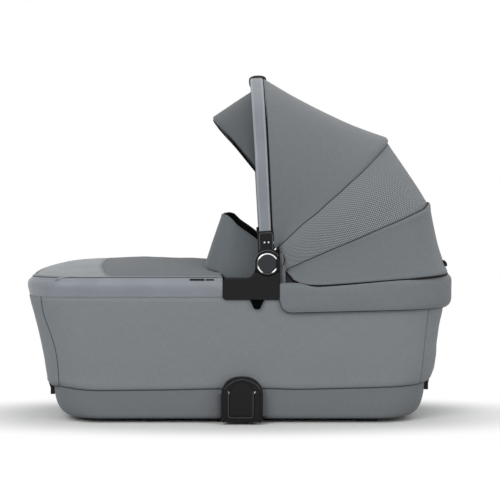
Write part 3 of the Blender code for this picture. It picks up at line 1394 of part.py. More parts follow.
def make_flap(finish):
    """The raised wind flap, a collar that stands on the apron and folds forwards."""
    path = u_path(FLAP_WING_END, -FLAP_FOOT, FLAP_HALF_WIDTH, FLAP_CORNER, 4, 8)
    rows = 5
    settle_share, settle_span_share, fall_power = 0.25, 0.2, 1.3
    grid = []
    for i in range(rows + 1):
        up = i / rows
        row = []
        for x, y in path:
            back = min(max((x + FLAP_FOOT) / (FLAP_WING_END + FLAP_FOOT), 0.0), 1.0)
            inside = max(abs(y) - FLAP_THICK, 0.0)
            low = apron_height(x, inside / apron_half_width(min(x, APRON_BACK))) + FLAP_SEAT
            past = min(max((back - settle_share) / settle_span_share, 0.0), 1.0)
            low += (APRON_EDGE + FLAP_SEAT - low) * past
            top = FLAP_TOP - (FLAP_TOP - FLAP_WING_TOP) * back ** fall_power
            lean = FLAP_LEAN * up * (1 - back)
            narrow = 1 - FLAP_TOP_INSET / FLAP_HALF_WIDTH * up
            height = low + (top - low) * up
            row.append(Vector((x + lean, y * narrow, height)))
        grid.append(row)
    return upright_sheet("wind_flap", grid, FLAP_THICK, finish)


def make_visor(wire_finish, fabric_finish):
    """The sun visor: a wire arch pinned to the bow, and its fabric."""
    origin = (VISOR_X, VISOR_Z)
    curve = arch_curve(VISOR_HALF_WIDTH, VISOR_CROWN, 0.0, VISOR_POWER, 0.0, ARCH_STEPS)
    height = math.hypot(VISOR_X - AXIS_X, VISOR_Z - AXIS_Z)
    bow_side = arch_side(BOW_HALF_WIDTH, BOW_CROWN, BOW_LEG, BOW_POWER, height + VISOR_STUB)
    wire = arch_solid("visor_wire", origin, VISOR_ANGLE, curve, round_section(VISOR_WIRE, 8),
                      wire_finish)
    for side, sign in SIDES.items():
        reach = bow_side - BOW_THICK / 2 - 1.5 * GAP
        ordered = sorted((sign * (VISOR_HALF_WIDTH - VISOR_WIRE * 2), sign * reach))
        name = f"visor_stub_{side}"
        join(wire, cylinder(name, VISOR_STUB, *ordered, origin, steps=12))
    out = VISOR_WIRE + VISOR_FABRIC + 4 * GAP
    start = VISOR_STUB + 4 * GAP
    edge = arch_curve(VISOR_HALF_WIDTH + out, VISOR_CROWN + out, 0.0, VISOR_POWER, start, ARCH_STEPS)
    front = arch_line(origin, VISOR_ANGLE, edge, -VISOR_WIRE - GAP)
    behind = arch_curve(VISOR_BOW_HALF_WIDTH, VISOR_BOW_CROWN, BOW_LEG, BOW_POWER,
                        height + 2 * start, ARCH_STEPS)
    back = arch_line(AXIS, BOW_ANGLE, behind, -BOW_WIDTH / 4)
    middle = Vector((VISOR_X, 0.0, VISOR_Z))
    sheet("visor_fabric", ruled_grid(front, back, PANEL_STEPS - 1, 0.0, middle),
          VISOR_FABRIC, fabric_finish)


def clear_scene():
    for item in list(bpy.data.objects):
        bpy.data.objects.remove(item, do_unlink=True)


def world_place(item):
    place = Vector((0.0, 0.0, 0.0))
    while item is not None:
        place += item.location
        item = item.parent
    return place


def axis_empty(name, place, parent=None):
    """An empty on a joint's axis, carried by the axis before it."""
    axis = bpy.data.objects.new(name, None)
    axis.empty_display_size = HUB
    axis.parent = parent
    axis.location = Vector(place) - world_place(parent)
    bpy.context.scene.collection.objects.link(axis)
    return axis


def carry(axis, *names):
    """Hangs pieces and their cutters on an axis, with their origins on it."""
    place = world_place(axis)
    for name in names:
        piece = bpy.data.objects[name]
        tools = [change.object for change in piece.modifiers if change.type == "BOOLEAN"]
        for item in [piece] + tools:
            item.data.transform(Matrix.Translation(-place))
            item.parent = axis


def both(*names):
    return [f"{name}_{side}" for name in names for side in SIDES]


def set_axes():
    """Puts every moving piece on the axis of its joint."""
    rim = axis_empty("rim_slide", (0.0, 0.0, RIM_MIDDLE))
    carry(rim, "rim_moulding", "rim_tube", "rear_rail", "rear_bumper", "apron",
          *both("bracket", "bracket_tongue", "pivot_pin", "hood_tab", "zip_puller"))
    hub = (AXIS_X, 0.0, AXIS_Z)
    rear = axis_empty("hood_rear_axis", hub, rim)
    carry(rear, "hood_rear_rib", "hood_rear_panel")
    middle = axis_empty("hood_mid_axis", hub, rear)
    carry(middle, "hood_mid_rib", "hood_mesh_panel")
    handle = axis_empty("handle_axis", hub, middle)
    carry(handle, "handle_bow", "handle_grip", "hood_front_panel", "visor_fabric",
          *both("hood_hub", "hub_ring", "rivet_front", "rivet_back"))
    visor = axis_empty("visor_axis", (VISOR_X, 0.0, VISOR_Z), handle)
    carry(visor, "visor_wire")
    foot = apron_height(-FLAP_FOOT, 0.0) + FLAP_SEAT
    flap = axis_empty("wind_flap_axis", (-FLAP_FOOT, 0.0, foot), rim)
    carry(flap, "wind_flap")
    for side, sign in SIDES.items():
        outer = PARTING + GAP + SOCKET_THICK + KNOB_PROUD
        knob = axis_empty(f"hub_knob_slide_{side}", (AXIS_X, sign * outer, AXIS_Z), handle)
        carry(knob, f"hub_knob_{side}")
        middle_z = (BUTTON_LOW + BUTTON_APEX) / 2
        button = axis_empty(f"adaptor_button_slide_{side}",
                            (ADAPTOR_X, sign * ADAPTOR_OUT, middle_z))
        carry(button, f"adaptor_button_{side}")
    for end, way in ENDS.items():
        pivot_x, pivot_z = stay_pivot(way)
        axis = axis_empty(f"{end}_stay_axis", (way * pivot_x, 0.0, pivot_z))
        carry(axis, f"{end}_stay")


def main():
    clear_scene()
    finish = make_materials()
    make_tray(finish["black_plastic"])
    make_skirt(finish["skirt_fabric"])
    make_tub(finish["tub_fabric"])
    make_liner(finish["dark_lining"])
    make_mattress(finish["foam"])
    make_feet(finish["rubber"])
    make_end_loops(finish["black_plastic"])
    make_stays(finish["steel"], finish["black_plastic"])
    make_adaptors(finish["black_plastic"], finish["black_plastic"])
    make_rim(finish["rim_plastic"], finish["steel"])
    make_bumper(finish["hood_fabric"])
    make_brackets(finish["black_plastic"], finish["steel"])
    make_hubs(finish["black_plastic"], finish["knob_plastic"], finish["chrome"], finish["steel"])
    make_bow(finish["bow_metal"], finish["black_plastic"])
    make_rib("hood_mid_rib", MID_ANGLE, 0, MID_CROWN - 3 * HOOD_FABRIC, MID_LEG, MID_POWER,
             finish["steel"])
    make_rib("hood_rear_rib", REAR_RIB_ANGLE, 1, REAR_CROWN - 4 * HOOD_FABRIC, REAR_LEG,
             REAR_POWER, finish["steel"])
    make_hood(finish["hood_fabric"], finish["mesh_fabric"])
    make_tabs(finish["hood_fabric"])
    make_apron(finish["leatherette"])
    make_pullers(finish["chrome"])
    make_flap(finish["hood_fabric"])
    make_visor(finish["steel"], finish["hood_fabric"])
    set_axes()


main()
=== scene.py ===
"""The carrycot's looks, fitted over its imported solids.

X runs towards the head end, the photographed side faces -Y, and the ground is at Z = 0.
Lengths are in metres.  A table of shifts, rises, tops, heads or feet pairs a place with a length.
"""

import json
import math

import bmesh
import bpy
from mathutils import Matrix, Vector, noise

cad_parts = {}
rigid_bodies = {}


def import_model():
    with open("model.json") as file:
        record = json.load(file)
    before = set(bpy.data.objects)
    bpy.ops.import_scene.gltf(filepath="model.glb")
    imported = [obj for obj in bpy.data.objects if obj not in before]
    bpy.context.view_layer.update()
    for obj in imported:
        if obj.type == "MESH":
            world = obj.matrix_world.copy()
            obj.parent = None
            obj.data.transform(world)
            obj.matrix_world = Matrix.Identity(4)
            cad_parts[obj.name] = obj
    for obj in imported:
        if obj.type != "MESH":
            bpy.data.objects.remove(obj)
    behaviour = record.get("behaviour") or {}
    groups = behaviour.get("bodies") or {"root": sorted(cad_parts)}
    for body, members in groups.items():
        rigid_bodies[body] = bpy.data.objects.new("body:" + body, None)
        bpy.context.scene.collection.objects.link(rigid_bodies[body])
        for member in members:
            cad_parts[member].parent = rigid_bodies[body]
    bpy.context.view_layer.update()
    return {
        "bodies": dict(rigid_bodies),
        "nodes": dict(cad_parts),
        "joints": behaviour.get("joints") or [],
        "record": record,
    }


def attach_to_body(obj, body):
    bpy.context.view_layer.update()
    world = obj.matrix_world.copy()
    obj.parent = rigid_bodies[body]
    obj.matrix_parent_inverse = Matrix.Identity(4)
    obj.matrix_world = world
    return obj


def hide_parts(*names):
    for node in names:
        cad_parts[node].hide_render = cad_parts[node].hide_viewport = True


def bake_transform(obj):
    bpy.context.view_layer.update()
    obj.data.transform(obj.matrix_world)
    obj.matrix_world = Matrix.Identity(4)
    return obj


SIDES = {"left": -1.0, "right": 1.0}
ENDS = {"foot": -1.0, "head": 1.0}
GAP = 0.0003
QUARTER = math.pi / 2
UP = Vector((0.0, 0.0, 1.0))
AHEAD = Vector((1.0, 0.0, 0.0))
SEAM_LIFT = 0.0001
WELD = 0.00005
TINY = 1e-9
END_SHARE = 0.3
RIPPLE_STEP = Vector((7, 3, 1))
STITCH_SIDE = Vector((0.31, 0.42, 0.85))

# Tub and tray
TUB_HEAD = 0.3865
TUB_INSET = 0.0045
TUB_SHOWN_FABRIC = 0.0015
TUB_LOW_FOOT = 0.3630
TUB_LOW_HEAD = 0.3610
TUB_LOW_HALF_WIDTH = 0.1915
TUB_LOW_CORNER = 0.0870
TUB_LOW = 0.0780
TUB_HEADS = ((0.0705, 0.0), (0.0777, 0.0035), (0.0950, 0.0073), (0.1184, 0.0068), (0.1475, 0.0033),
             (0.1803, 0.0021), (0.2056, 0.0033), (0.2150, 0.0030), (0.2362, 0.0))
TUB_FEET = ((0.0615, 0.0), (0.0742, 0.0036), (0.0932, 0.0024), (0.1200, 0.0008), (0.1720, 0.0),
            (0.2000, 0.0010), (0.2242, 0.0023), (0.2362, 0.0023))
TUB_SEAM_HEAD = ((0.0705, 0.3375), (0.2362, 0.3520))
TUB_SEAM_FOOT = ((0.0615, -0.3365), (0.0761, -0.3368), (0.0965, -0.3372), (0.1100, -0.3382),
                 (0.1253, -0.3397), (0.1427, -0.3426), (0.1594, -0.3474), (0.1742, -0.3522),
                 (0.1927, -0.3596), (0.2097, -0.3643), (0.2362, -0.3672))
TUB_SEAM_RADIUS = 0.0008
TUB_PIPING = 0.0012
TUB_PIPING_DROP = 0.0004
LINER_FABRIC = 0.0015
LINER_LOW_END = 0.3150
LINER_TOP_END = 0.3610
LINER_LOW_HALF_WIDTH = 0.1720
LINER_TOP_HALF_WIDTH = 0.1900
LINER_CORNER = 0.0850
LINER_LOW = 0.0560
LINER_TOP = 0.2330
LINER_INSET = 0.0012
LINER_END_SHARE = 0.4
SEAM_FOOT = 0.0615
SEAM_HEAD = 0.0705
SEAM_RISES = ((-0.3525, 0.0010), (-0.3400, 0.0040), (-0.3340, 0.0043), (-0.3203, 0.0032),
              (-0.2980, 0.0012), (-0.2800, -0.0002), (-0.2574, -0.0011), (-0.1391, -0.0013),
              (-0.0449, -0.0006), (0.0420, -0.0010), (0.1122, -0.0034), (0.2249, -0.0023),
              (0.2822, -0.0013), (0.3300, -0.0003), (0.3515, 0.0))
SKIRT_FOOT = 0.3525
SKIRT_HEAD = 0.3515
SKIRT_HALF_WIDTH = 0.1865
SKIRT_CORNER = 0.0830
SKIRT_LOW = 0.0084
SKIRT_TUCK_END = 0.0270
SKIRT_TUCK_SIDE = 0.0095
SKIRT_SHOWN_FABRIC = 0.0016
END_TUCK_SHARES = ((0.0, 0.0), (0.20, 0.01), (0.344, 0.052), (0.48, 0.115), (0.604, 0.20), (0.70, 0.29),
                   (0.765, 0.374), (0.84, 0.50), (0.895, 0.63), (0.95, 0.80), (0.99, 0.98), (1.0, 1.10))
SIDE_TUCK_SHARES = ((0.0, 0.0), (0.60, 0.20), (0.88, 0.38), (0.96, 0.60), (1.0, 0.90))
NOTCH_FLARE = 0.0115
NOTCH_LAP = 0.0030
NOTCH_LOW = -0.0040
NOTCH_REACH = 0.3
MATTRESS_LOW = 0.0103
MATTRESS_THICK = 0.0400
MATTRESS_HALF_LENGTH = 0.3220
MATTRESS_HALF_WIDTH = 0.1580
MATTRESS_CORNER = 0.0850
MATTRESS_INSETS = ((0.00, 0.0130), (0.04, 0.0060), (0.12, 0.0022), (0.30, 0.0), (0.50, 0.0), (0.70, 0.0),
                   (0.86, 0.0022), (0.94, 0.0060), (0.985, 0.0150), (1.02, 0.0400), (1.05, 0.0800),
                   (1.07, 0.1200), (1.08, 0.1550))
MATTRESS_LEAST_CORNER = 0.0020
MATTRESS_FIRM_SHARE = 0.1
MATTRESS_PIPING = 0.0018
MATTRESS_PIPING_INSET = 0.0050
MATTRESS_PIPING_SHARES = {"mattress_piping_top": 0.93, "mattress_piping_low": 0.06}
ADAPTOR_X = 0.0051
ADAPTOR_WIDTH = 0.0771
ADAPTOR_BLOCK_TOP = 0.0560
ADAPTOR_FACE = 0.2063
# The adaptor's edge lines are lighter, a painted highlight.
ADAPTOR_LINE = 0.0005
ADAPTOR_LINES = {
    "arch": ((-0.0323, 0.0660), (-0.0264, 0.0734), (-0.0147, 0.0813), (-0.0007, 0.0849), (0.0156, 0.0813),
             (0.0275, 0.0743), (0.0331, 0.0660)),
    "panel": ((-0.0251, 0.0623), (-0.0251, 0.0175), (-0.0235, 0.0148), (-0.0200, 0.0135), (0.0152, 0.0135),
              (0.0187, 0.0148), (0.0202, 0.0175), (0.0202, 0.0623)),
}
MARK_IN = 0.2040
MARK_OUT = 0.2058
MARKS = {"foot": (-0.0200, 0.0016), "head": (0.0292, -0.0016)}
MARK_TOP = 0.0622
MARK_SHOULDER = 0.0616
MARK_LOW = 0.0570
MARK_HALF_WIDTH = 0.0014

# Rim and bumper
RIM_FOOT = 0.4000
RIM_HALF_WIDTH = 0.2200
RIM_CORNER = 0.1000
RIM_LOW = 0.2362
RIM_HEIGHT = 0.0360
RIM_DEPTH = 0.0260
RIM_SHOWN_WALL = 0.0021
RIM_OUTLINE_SHARES = (
    (-1.0, 0.97), (-0.93, 1.0), (-0.2, 1.0), (0.10, 0.99), (0.30, 0.96), (0.44, 0.90), (0.52, 0.82),
    (0.55, 0.735), (0.62, 0.725), (0.74, 0.68), (0.86, 0.57), (0.95, 0.40), (0.99, 0.22), (1.0, 0.06),
    (0.985, -0.06), (0.94, -0.24), (0.88, -0.42), (0.81, -0.60), (0.75, -0.78), (0.70, -0.93),
    (0.62, -1.0), (-0.93, -1.0), (-1.0, -0.97))
RIM_SHARP_ANGLE = math.radians(50)
RIM_PIPING = 0.0014
RIM_PIPING_INSET = 0.0015
RIM_PIPING_RISE = 0.0004
RIM_PIPING_BACK = 0.0040
BRACKET_FRONT = -0.0303
BRACKET_BACK = 0.0741
BUMPER_HEAD = 0.4000
BUMPER_HALF_WIDTH = 0.2205
BUMPER_CORNER = 0.1050
BUMPER_LOW = 0.2070
BUMPER_LOW_RISE = 0.0080
BUMPER_TOPS = ((0.0741, 0.2617), (0.0877, 0.2617), (0.1087, 0.2597), (0.1255, 0.2568),
               (0.1380, 0.2558), (0.1506, 0.2556), (0.1820, 0.2577), (0.2239, 0.2610),
               (0.2658, 0.2648), (0.3077, 0.2681), (0.3427, 0.2715), (0.3858, 0.2752),
               (0.4000, 0.2765))
BUMPER_ROUND_LOW = 0.0180
BUMPER_ROUND_TOP = 0.0140
BUMPER_ROUND_SHARE = 0.45
BUMPER_DRAW_END = 0.0100
BUMPER_DRAW_SIDE = 0.0030
BUMPER_LIP = 0.0020
BUMPER_FRONT_ROUND = 0.0220
BUMPER_BULGE = 0.0015
BUMPER_RIDGE_IN = 0.0055
BUMPER_DEEP_IN = 0.0190
BUMPER_RIDGE_DROP = 0.0030
BUMPER_DEEP_DROP = 0.0050
BUMPER_SKIRT_RISE = 0.0060
BUMPER_MIDDLE_X = 0.25
BUMPER_END_HALF_WIDTH = 0.1
BUMPER_END_FADE = 0.010
BUMPER_FOLD = Vector((0.060, 0.060, 0.009))
BUMPER_FOLD_DEPTH = 0.0004
BUMPER_FRONT_FOLD_DEPTH = 0.0011
BUMPER_FRONT_REACH = 0.18
# A dark tube under the bumper's lower lip, a painted shadow of the gap over the tub.
BUMPER_PIPING = 0.0011
BUMPER_PIPING_RISE = 0.0006
BUMPER_PIPING_SHARE = 0.85
RAIL_COVER = 0.2624

# Apron and wind flap
APRON_BACK = -0.0325
APRON_FOOT = -0.3885
APRON_HALF_WIDTH = 0.2085
APRON_CORNER = 0.0885
APRON_EDGE = 0.2736
APRON_CROWN = 0.0269
APRON_CROWN_POWER = 2.4
APRON_RISE_SHARES = (
    (-0.3885, 0.0), (-0.3860, 0.15), (-0.3828, 0.27), (-0.3740, 0.43), (-0.3600, 0.575), (-0.3420, 0.70),
    (-0.3260, 0.785), (-0.3090, 0.86), (-0.2850, 0.93), (-0.2619, 0.985), (-0.2250, 1.05),
    (-0.1900, 1.09), (-0.1650, 1.04), (-0.1380, 0.98), (-0.1200, 0.975), (-0.1020, 0.99),
    (-0.0850, 0.955), (-0.0690, 0.92), (-0.0400, 0.88))
APRON_FABRIC = 0.0012
APRON_FREE = 0.04
APRON_SEAM = 0.0008
APRON_SEAM_HALF = 0.0004
APRON_CENTRE = (-0.2, 0.0, 0.0)
APRON_STITCH_SET = 0.0040
APRON_BINDING = 0.0011
APRON_BINDING_DROP = 0.0004
TOE_BACKS = ((0.0, -0.2560), (0.30, -0.2595), (0.62, -0.2608), (0.84, -0.2535), (0.93, -0.2455),
             (1.0, -0.2367))
TOE_FLAT = (0.417, 0.150)
TOE_CUT_SHARE = 0.86
TOE_EASED_SHARE = 0.7
MESH_FLAT = (0.424, 0.225)
TOE_EDGE_BACK = -0.3380
TOE_EDGE_SINK = 0.0030
# Each edge's inset at the end, inset at the side, lift, radius and finish.
TOE_EDGES = {"toe_ridge": (0.0035, 0.0012, 0.0002, 0.0020, "apron"),
             "toe_groove": (0.0065, 0.0034, 0.0001, 0.0009, "thread")}
ZIP_OUT = 0.0012
ZIP_FOOT_OUT = 0.0020
ZIP_BACK = -0.0385
ZIP_RISE = 0.0004
ZIP_PITCH = 0.0016
ZIP_TOOTH_SHARE = 0.7
ZIP_TOOTH_RADIUS = 0.0006
ZIP_BARE_OUT = 0.0058
ZIP_BARE_DROP = 0.0038
# Each bare stretch's two ends and radius.
ZIP_BARE = {"long": (-0.0905, -0.0640, 0.0020), "short": (-0.0611, -0.0464, 0.0015)}
FLAP_FOOT = 0.0660
FLAP_LEAN = 0.0315
FLAP_TOPS = ((0.0, 0.3868), (0.15, 0.3868), (0.30, 0.3820), (0.466, 0.3710), (0.705, 0.3585),
             (0.917, 0.3459), (1.0, 0.3407))
FLAP_WING_LOW = 0.2690
FLAP_WING_END = 0.0305
FLAP_SLANT = 0.0045
FLAP_REACH = 0.0060
FLAP_HALF_WIDTH = 0.1880
FLAP_TOP_INSET = 0.0100
FLAP_CORNER = 0.0450
FLAP_THICK = 0.0060
FLAP_EDGE_THICK = 0.0015
FLAP_PAD_THICK = 0.0057
FLAP_SEAT = 0.0005
FLAP_ROUND = 0.0016
FLAP_SKIN = 0.0004
FLAP_LINING_SKIN = 0.0012
FLAP_MIDDLE_X = 0.03
FLAP_WING_FROM_SHARE = 0.25
FLAP_WING_OVER_SHARE = 0.15
FLAP_PIPING_SHARE = 0.45
FLAP_PIPING = 0.0013

# Hood
AXIS_X = 0.0518
AXIS_Z = 0.2982
HUB = 0.0225
MID_ANGLE = math.radians(44.4)
MID_HALF_WIDTH = 0.2005
MID_CROWN = 0.3335
MID_LEG = 0.1200
MID_POWER = 2.5
MID_START = 0.0367
MID_SHIFTS = ((0.050, -0.0056), (0.085, -0.0046), (0.144, 0.0011), (0.197, 0.0046),
              (0.254, 0.0082), (0.334, 0.0087))
MID_HEM = 0.0095
MID_DROP = 0.0061
MID_TURN_SHARES = ((0.35, 0.02), (0.62, 0.10), (0.82, 0.32), (0.95, 0.64), (1.0, 1.0))
REAR_ANGLE = math.radians(66.3)
REAR_DX = 0.0102
REAR_DZ = -0.0212
REAR_CROWN = 0.3340
REAR_LEG = 0.1400
REAR_POWER = 2.8
REAR_SHIFTS = ((0.10, 0.0005), (0.20, 0.0020), (0.27, 0.0036), (0.31, 0.0045), (0.334, 0.0))
HOOD_FABRIC = 0.0024
HOOD_SHOWN_FABRIC = 0.00168
HOOD_SEAM = 0.0010
HOOD_SAG = 0.0090
HOOD_MESH_SAG = -0.0014
HOOD_REAR_SAG = 0.0030
# Each cord's radius.
HOOD_CORDS = {"hood_mid_seam": 0.0010, "hood_rear_seam": 0.0009, "hood_hem_zip_painted_shadow": 0.0022}
HOOD_LEAD_SHIFTS = ((0.0, 0.0147), (0.060, 0.0147), (0.075, 0.0118), (0.360, 0.0112))
LEAD_STRIP = ((0.0020, 0.0080), (0.0020, 0.0126), (-0.0035, 0.0126), (-0.0035, 0.0080))
LEAD_STRIP_START = 0.04592
MESH_TUCK = 0.0045
MESH_TUCK_SPEED = 1.2
MESH_ROLL = 0.0005
REAR_ROLL = 0.0014
HEM_ROLL = 0.0016
MESH_FADE_LOW = 0.34
MESH_FADE_TOP = 0.52
HEM_ANGLE = math.radians(94)
HEM_HEAD = 0.3965
HEM_HALF_WIDTH = 0.2165
HEM_LEG = 0.2140
HEM_POWER = 4.0
HEM_START = 0.0330
HEM_TUCK = 0.0140
HEM_TUCK_LENGTH = 0.0900
HEM_RISES = ((0.0846, 0.0234), (0.0880, 0.0180), (0.0919, 0.0132), (0.1003, 0.0070),
             (0.1107, 0.0034), (0.1213, 0.0026), (0.1506, 0.0031), (0.2239, 0.0026),
             (0.3077, 0.0021), (0.4000, 0.0015))
HEM_MIDDLE_X = 0.22
# A dark cord under the hood's hem: it stands for the zip and paints the shadow gap over the bumper.
ZIP_CORD_IN = 0.0012
ZIP_CORD_DROP = 0.0014
TAB_WIDTH = 0.0088
TAB_TOP = 0.3221
TAB_LAP = 0.0020
TAB_OUT = 0.0022
TAB_FOLD_DEPTH = 0.0020
TAB_CREASE_DEPTH = 0.0022
TAB_FABRIC = 0.0014
# The dark line down the tab's gather, painted shade in its crease.
TAB_FOLD = ((0.0768, 0.3212), (0.0800, 0.3150), (0.0838, 0.3053), (0.0822, 0.2980), (0.0791, 0.2913))
TAB_FOLD_OUT = 0.0034
TAB_FOLD_RADIUS = 0.0008
TAB_CENTRE = (0.08, 0.0, 0.29)
GUSSET_LENGTH = 0.0400
GUSSET_HEIGHT = 0.0260
GUSSET_LAP = 0.0040
GUSSET_LOW_HEIGHT = 0.0050
GUSSET_IN = 0.0030
GUSSET_FABRIC = 0.0008
TAG_X = 0.3856
TAG_Y = 0.1250
TAG_LOW = 0.2895
TAG_HEIGHT = 0.0110
TAG_LEAN = 0.0046
TAG_BOW = 0.0022
TAG_LENGTH = 0.0048
TAG_WIDTH = 0.0060
TAG_FABRIC = 0.0012
TAG_CENTRE = (0.3, 0.0, 0.29)
VISOR_X = 0.0373
VISOR_Z = 0.4680
VISOR_ANGLE = math.radians(-39.3)
VISOR_CROWN = 0.1325
VISOR_HALF_WIDTH = 0.1960
VISOR_POWER = 2.4
VISOR_WIRE = 0.0020
VISOR_STUB = 0.0030
VISOR_FABRIC = 0.0016
# Each hem row's shift aside at the legs, and out and aside at the crown.
VISOR_HEM = ((-0.0012, -0.0021, -0.0044), (-0.0008, -0.0004, -0.0036), (-0.0004, 0.0016, -0.0022),
             (0.0, 0.0033, 0.0))
VISOR_BULGE = 0.0012
VISOR_BOW_CROWN = 0.3330
VISOR_BOW_HALF_WIDTH = 0.2025
VISOR_BINDING = 0.0009

# Handle
BOW_ANGLE = math.radians(-2.72)
BOW_WIDTH = 0.0242
BOW_FOOT_WIDTH = 0.0218
BOW_SET = 0.0029
BOW_FOOT_SET = 0.0015
BOW_ROUND = 0.0040
BOW_ROUND_STEPS = 5
# The facets on the bow's rounded edges, which get a lighter finish as a painted highlight.
BOW_PAINTED_HIGHLIGHT_FACETS = [[k, k + 1] for k in (0, 1, 2, 3, 18, 19, 20, 21, 22)]
BOW_DIP = 0.0013
BOW_THICK = 0.0120
BOW_HALF_WIDTH = 0.2128
BOW_CROWN = 0.3505
BOW_LEG = 0.1250
BOW_POWER = 2.35
BOW_START = 0.0600
BOW_SEATED = 0.0040
SOCKET_WIDTH = 0.0287
GRIP_HALF_LENGTH = 0.0450
GRIP_WALL = 0.0045
GRIP_SIDE = 0.0048
GRIP_UNDER = 0.0016
GRIP_SET = 0.0022
GRIP_POWER = 2.4
GRIP_END_POWER = 6.0
GRIP_END_ROUND = 0.005
RING_MIDDLE = 0.0182
RING_HALF = 0.0013
RING_FLAT_SHARE = 0.6
RING_FACE = 0.2222
# The ring's painted reflections: its brightness by its share of a turn from the foot side, through the
# bottom.
RING_PAINTED_REFLECTION_LEVELS = ((0.0, 90), (0.04, 130), (0.06, 240), (0.15, 240), (0.18, 80), (0.32, 80), (0.35, 235),
               (0.40, 235), (0.43, 35), (0.57, 35), (0.60, 235), (0.90, 246), (0.94, 110), (1.0, 90))
HUB_FACE = 0.2209
# The hub's bezel and socket lines are lighter, a painted highlight.
HUB_LINE = 0.0006
BEZEL = 0.0246
BEZEL_FROM = 35
BEZEL_SWEEP = 165
SOCKET_FRAME = ((0.0262, -0.0126), (0.0535, -0.0126), (0.0562, -0.0108), (0.0565, 0.0), (0.0562, 0.0094),
                (0.0535, 0.0112), (0.0262, 0.0112))
RIVET_AT = 0.0390
# A dark disc round the rivets, painted shade for their recess.
RIVET_SEAT = 0.0043
RIVET_SEAT_DEPTH = 0.0006

AXIS = (AXIS_X, AXIS_Z)
REAR_ORIGIN = (AXIS_X + REAR_DX, AXIS_Z + REAR_DZ)
RIM_MIDDLE = RIM_LOW + RIM_HEIGHT / 2
RIM_TOP = RIM_LOW + RIM_HEIGHT
HOOD_MIDDLE = Vector((AXIS_X + BRACKET_BACK, 0.0, AXIS_Z))

# How finely curves are divided
CORNER_STEPS = 16
ARCH_STEPS = 72

# Stitches, and the ripples of cloth by their size and depth
STITCH_PITCH = 0.0032
STITCH_RADIUS = 0.00028
TUB_RIPPLE = (0.09, 0.0012)
TUB_FINE_RIPPLE = (0.035, 0.0004)
LINER_RIPPLE = (0.06, 0.0012)
MATTRESS_RIPPLE = (0.07, 0.0012)
BUMPER_RIPPLE = (0.045, 0.0010)
APRON_RIPPLE = (0.10, 0.0018)
APRON_FINE_RIPPLE = (0.03, 0.0005)
FLAP_RIPPLE = (0.05, 0.0012)
HOOD_RIPPLE = (0.10, 0.0016)
HOOD_FINE_RIPPLE = (0.04, 0.0005)

# How light and dark surfaces are, and how deep their grain is
FULL_LEVEL = 255.0
WHITE = (FULL_LEVEL, FULL_LEVEL, FULL_LEVEL)
THREAD_RANGE = (0.70, 1.30)
DOT_RANGE = (0.10, 0.70)
PATCH_RANGE = (0.3, 0.7)
CLOTH_SHINE = 0.25
CREASE_DEPTH = 0.0006
THREAD_DEPTH = 0.00012
DOT_DEPTH = 0.0007
LEATHER_GRAIN = 1400.0
LEATHER_DEPTH = 0.00012
PLASTIC_GRAIN = 2500.0

# Camera, lamps and floor
CAMERA_PLACE = (0.0198, -3.0, 0.4165)
CAMERA_DIP = math.radians(1.918)
CAMERA_LENS = 109.66
CAMERA_SENSOR = 36.0
CAMERA_REACH = 50.0
# Each lamp's place, target, size and power.
LAMPS = {
    "key": ((-1.5, -2.9, 1.9), (0.0, 0.0, 0.25), 1.8, 37.0),
    "fill": ((2.6, -2.4, 1.2), (0.0, 0.0, 0.25), 1.8, 19.0),
    "top": ((0.2, 0.3, 2.8), (0.0, 0.0, 0.3), 1.6, 9.0),
}
WORLD_LIGHT = 0.50
FLOOR_SIZE = 9.0
FLOOR_LEVELS = (0.55, 1.05)
FLOOR_STRETCH = (1.0, 2.4, 1.0)
FLOOR_SHIFT = (0.0, 0.19, 0.0)
FLOOR_FADE = (0.40, 0.75)


def srgb(red, green, blue):
    """The linear colour of a surface given in display levels."""
    toe_share, slope, offset_share, power = 0.04045, 12.92, 0.055, 2.4
    linear = []
    for level in (red, green, blue):
        share = level / FULL_LEVEL
        if share <= toe_share:
            linear.append(share / slope)
        else:
            linear.append(((share + offset_share) / (1 + offset_share)) ** power)
    return (*linear, 1.0)


# Materials

def add_node(tree, kind, values, **settings):
    """A shader node of a kind, with each input set to a value or fed by another node."""
    made = tree.nodes.new("ShaderNode" + kind)
    for name, setting in settings.items():
        setattr(made, name, setting)
    for socket, value in values.items():
        if isinstance(value, (int, float, tuple)):
            made.inputs[socket].default_value = value
        else:
            tree.links.new(value, made.inputs[socket])
    return made


def math_node(tree, operation, *values):
    return add_node(tree, "Math", dict(enumerate(values)), operation=operation).outputs["Value"]


def map_range(tree, value, low=0.0, high=1.0, start=0.0, end=1.0, **settings):
    """Carries a value from the range low to high over to the range start to end."""
    ranges = {"Value": value, "From Min": low, "From Max": high, "To Min": start, "To Max": end}
    return add_node(tree, "MapRange", ranges, **settings).outputs["Result"]


def object_place(tree):
    return add_node(tree, "TexCoord", {}).outputs["Object"]


def cloth_place(tree):
    """The coordinates along a cloth's threads, in metres."""
    return add_node(tree, "UVMap", {}, uv_map="cloth").outputs["UV"]


def split_place(tree, vector):
    return add_node(tree, "SeparateXYZ", {"Vector": vector}).outputs


def noise_at(tree, vector, scale, detail=2.0, stretch=None):
    """Noise with a feature size of about one over the scale, in metres."""
    if stretch is not None:
        vector = add_node(tree, "Mapping", {"Scale": stretch, "Vector": vector}).outputs["Vector"]
    return add_node(tree, "TexNoise", {"Scale": scale, "Detail": detail, "Vector": vector}).outputs["Fac"]


def blend_colours(tree, factor, first, second):
    mix = add_node(tree, "Mix", {"Factor": factor, "A": first, "B": second}, data_type="RGBA")
    return mix.outputs["Result"]


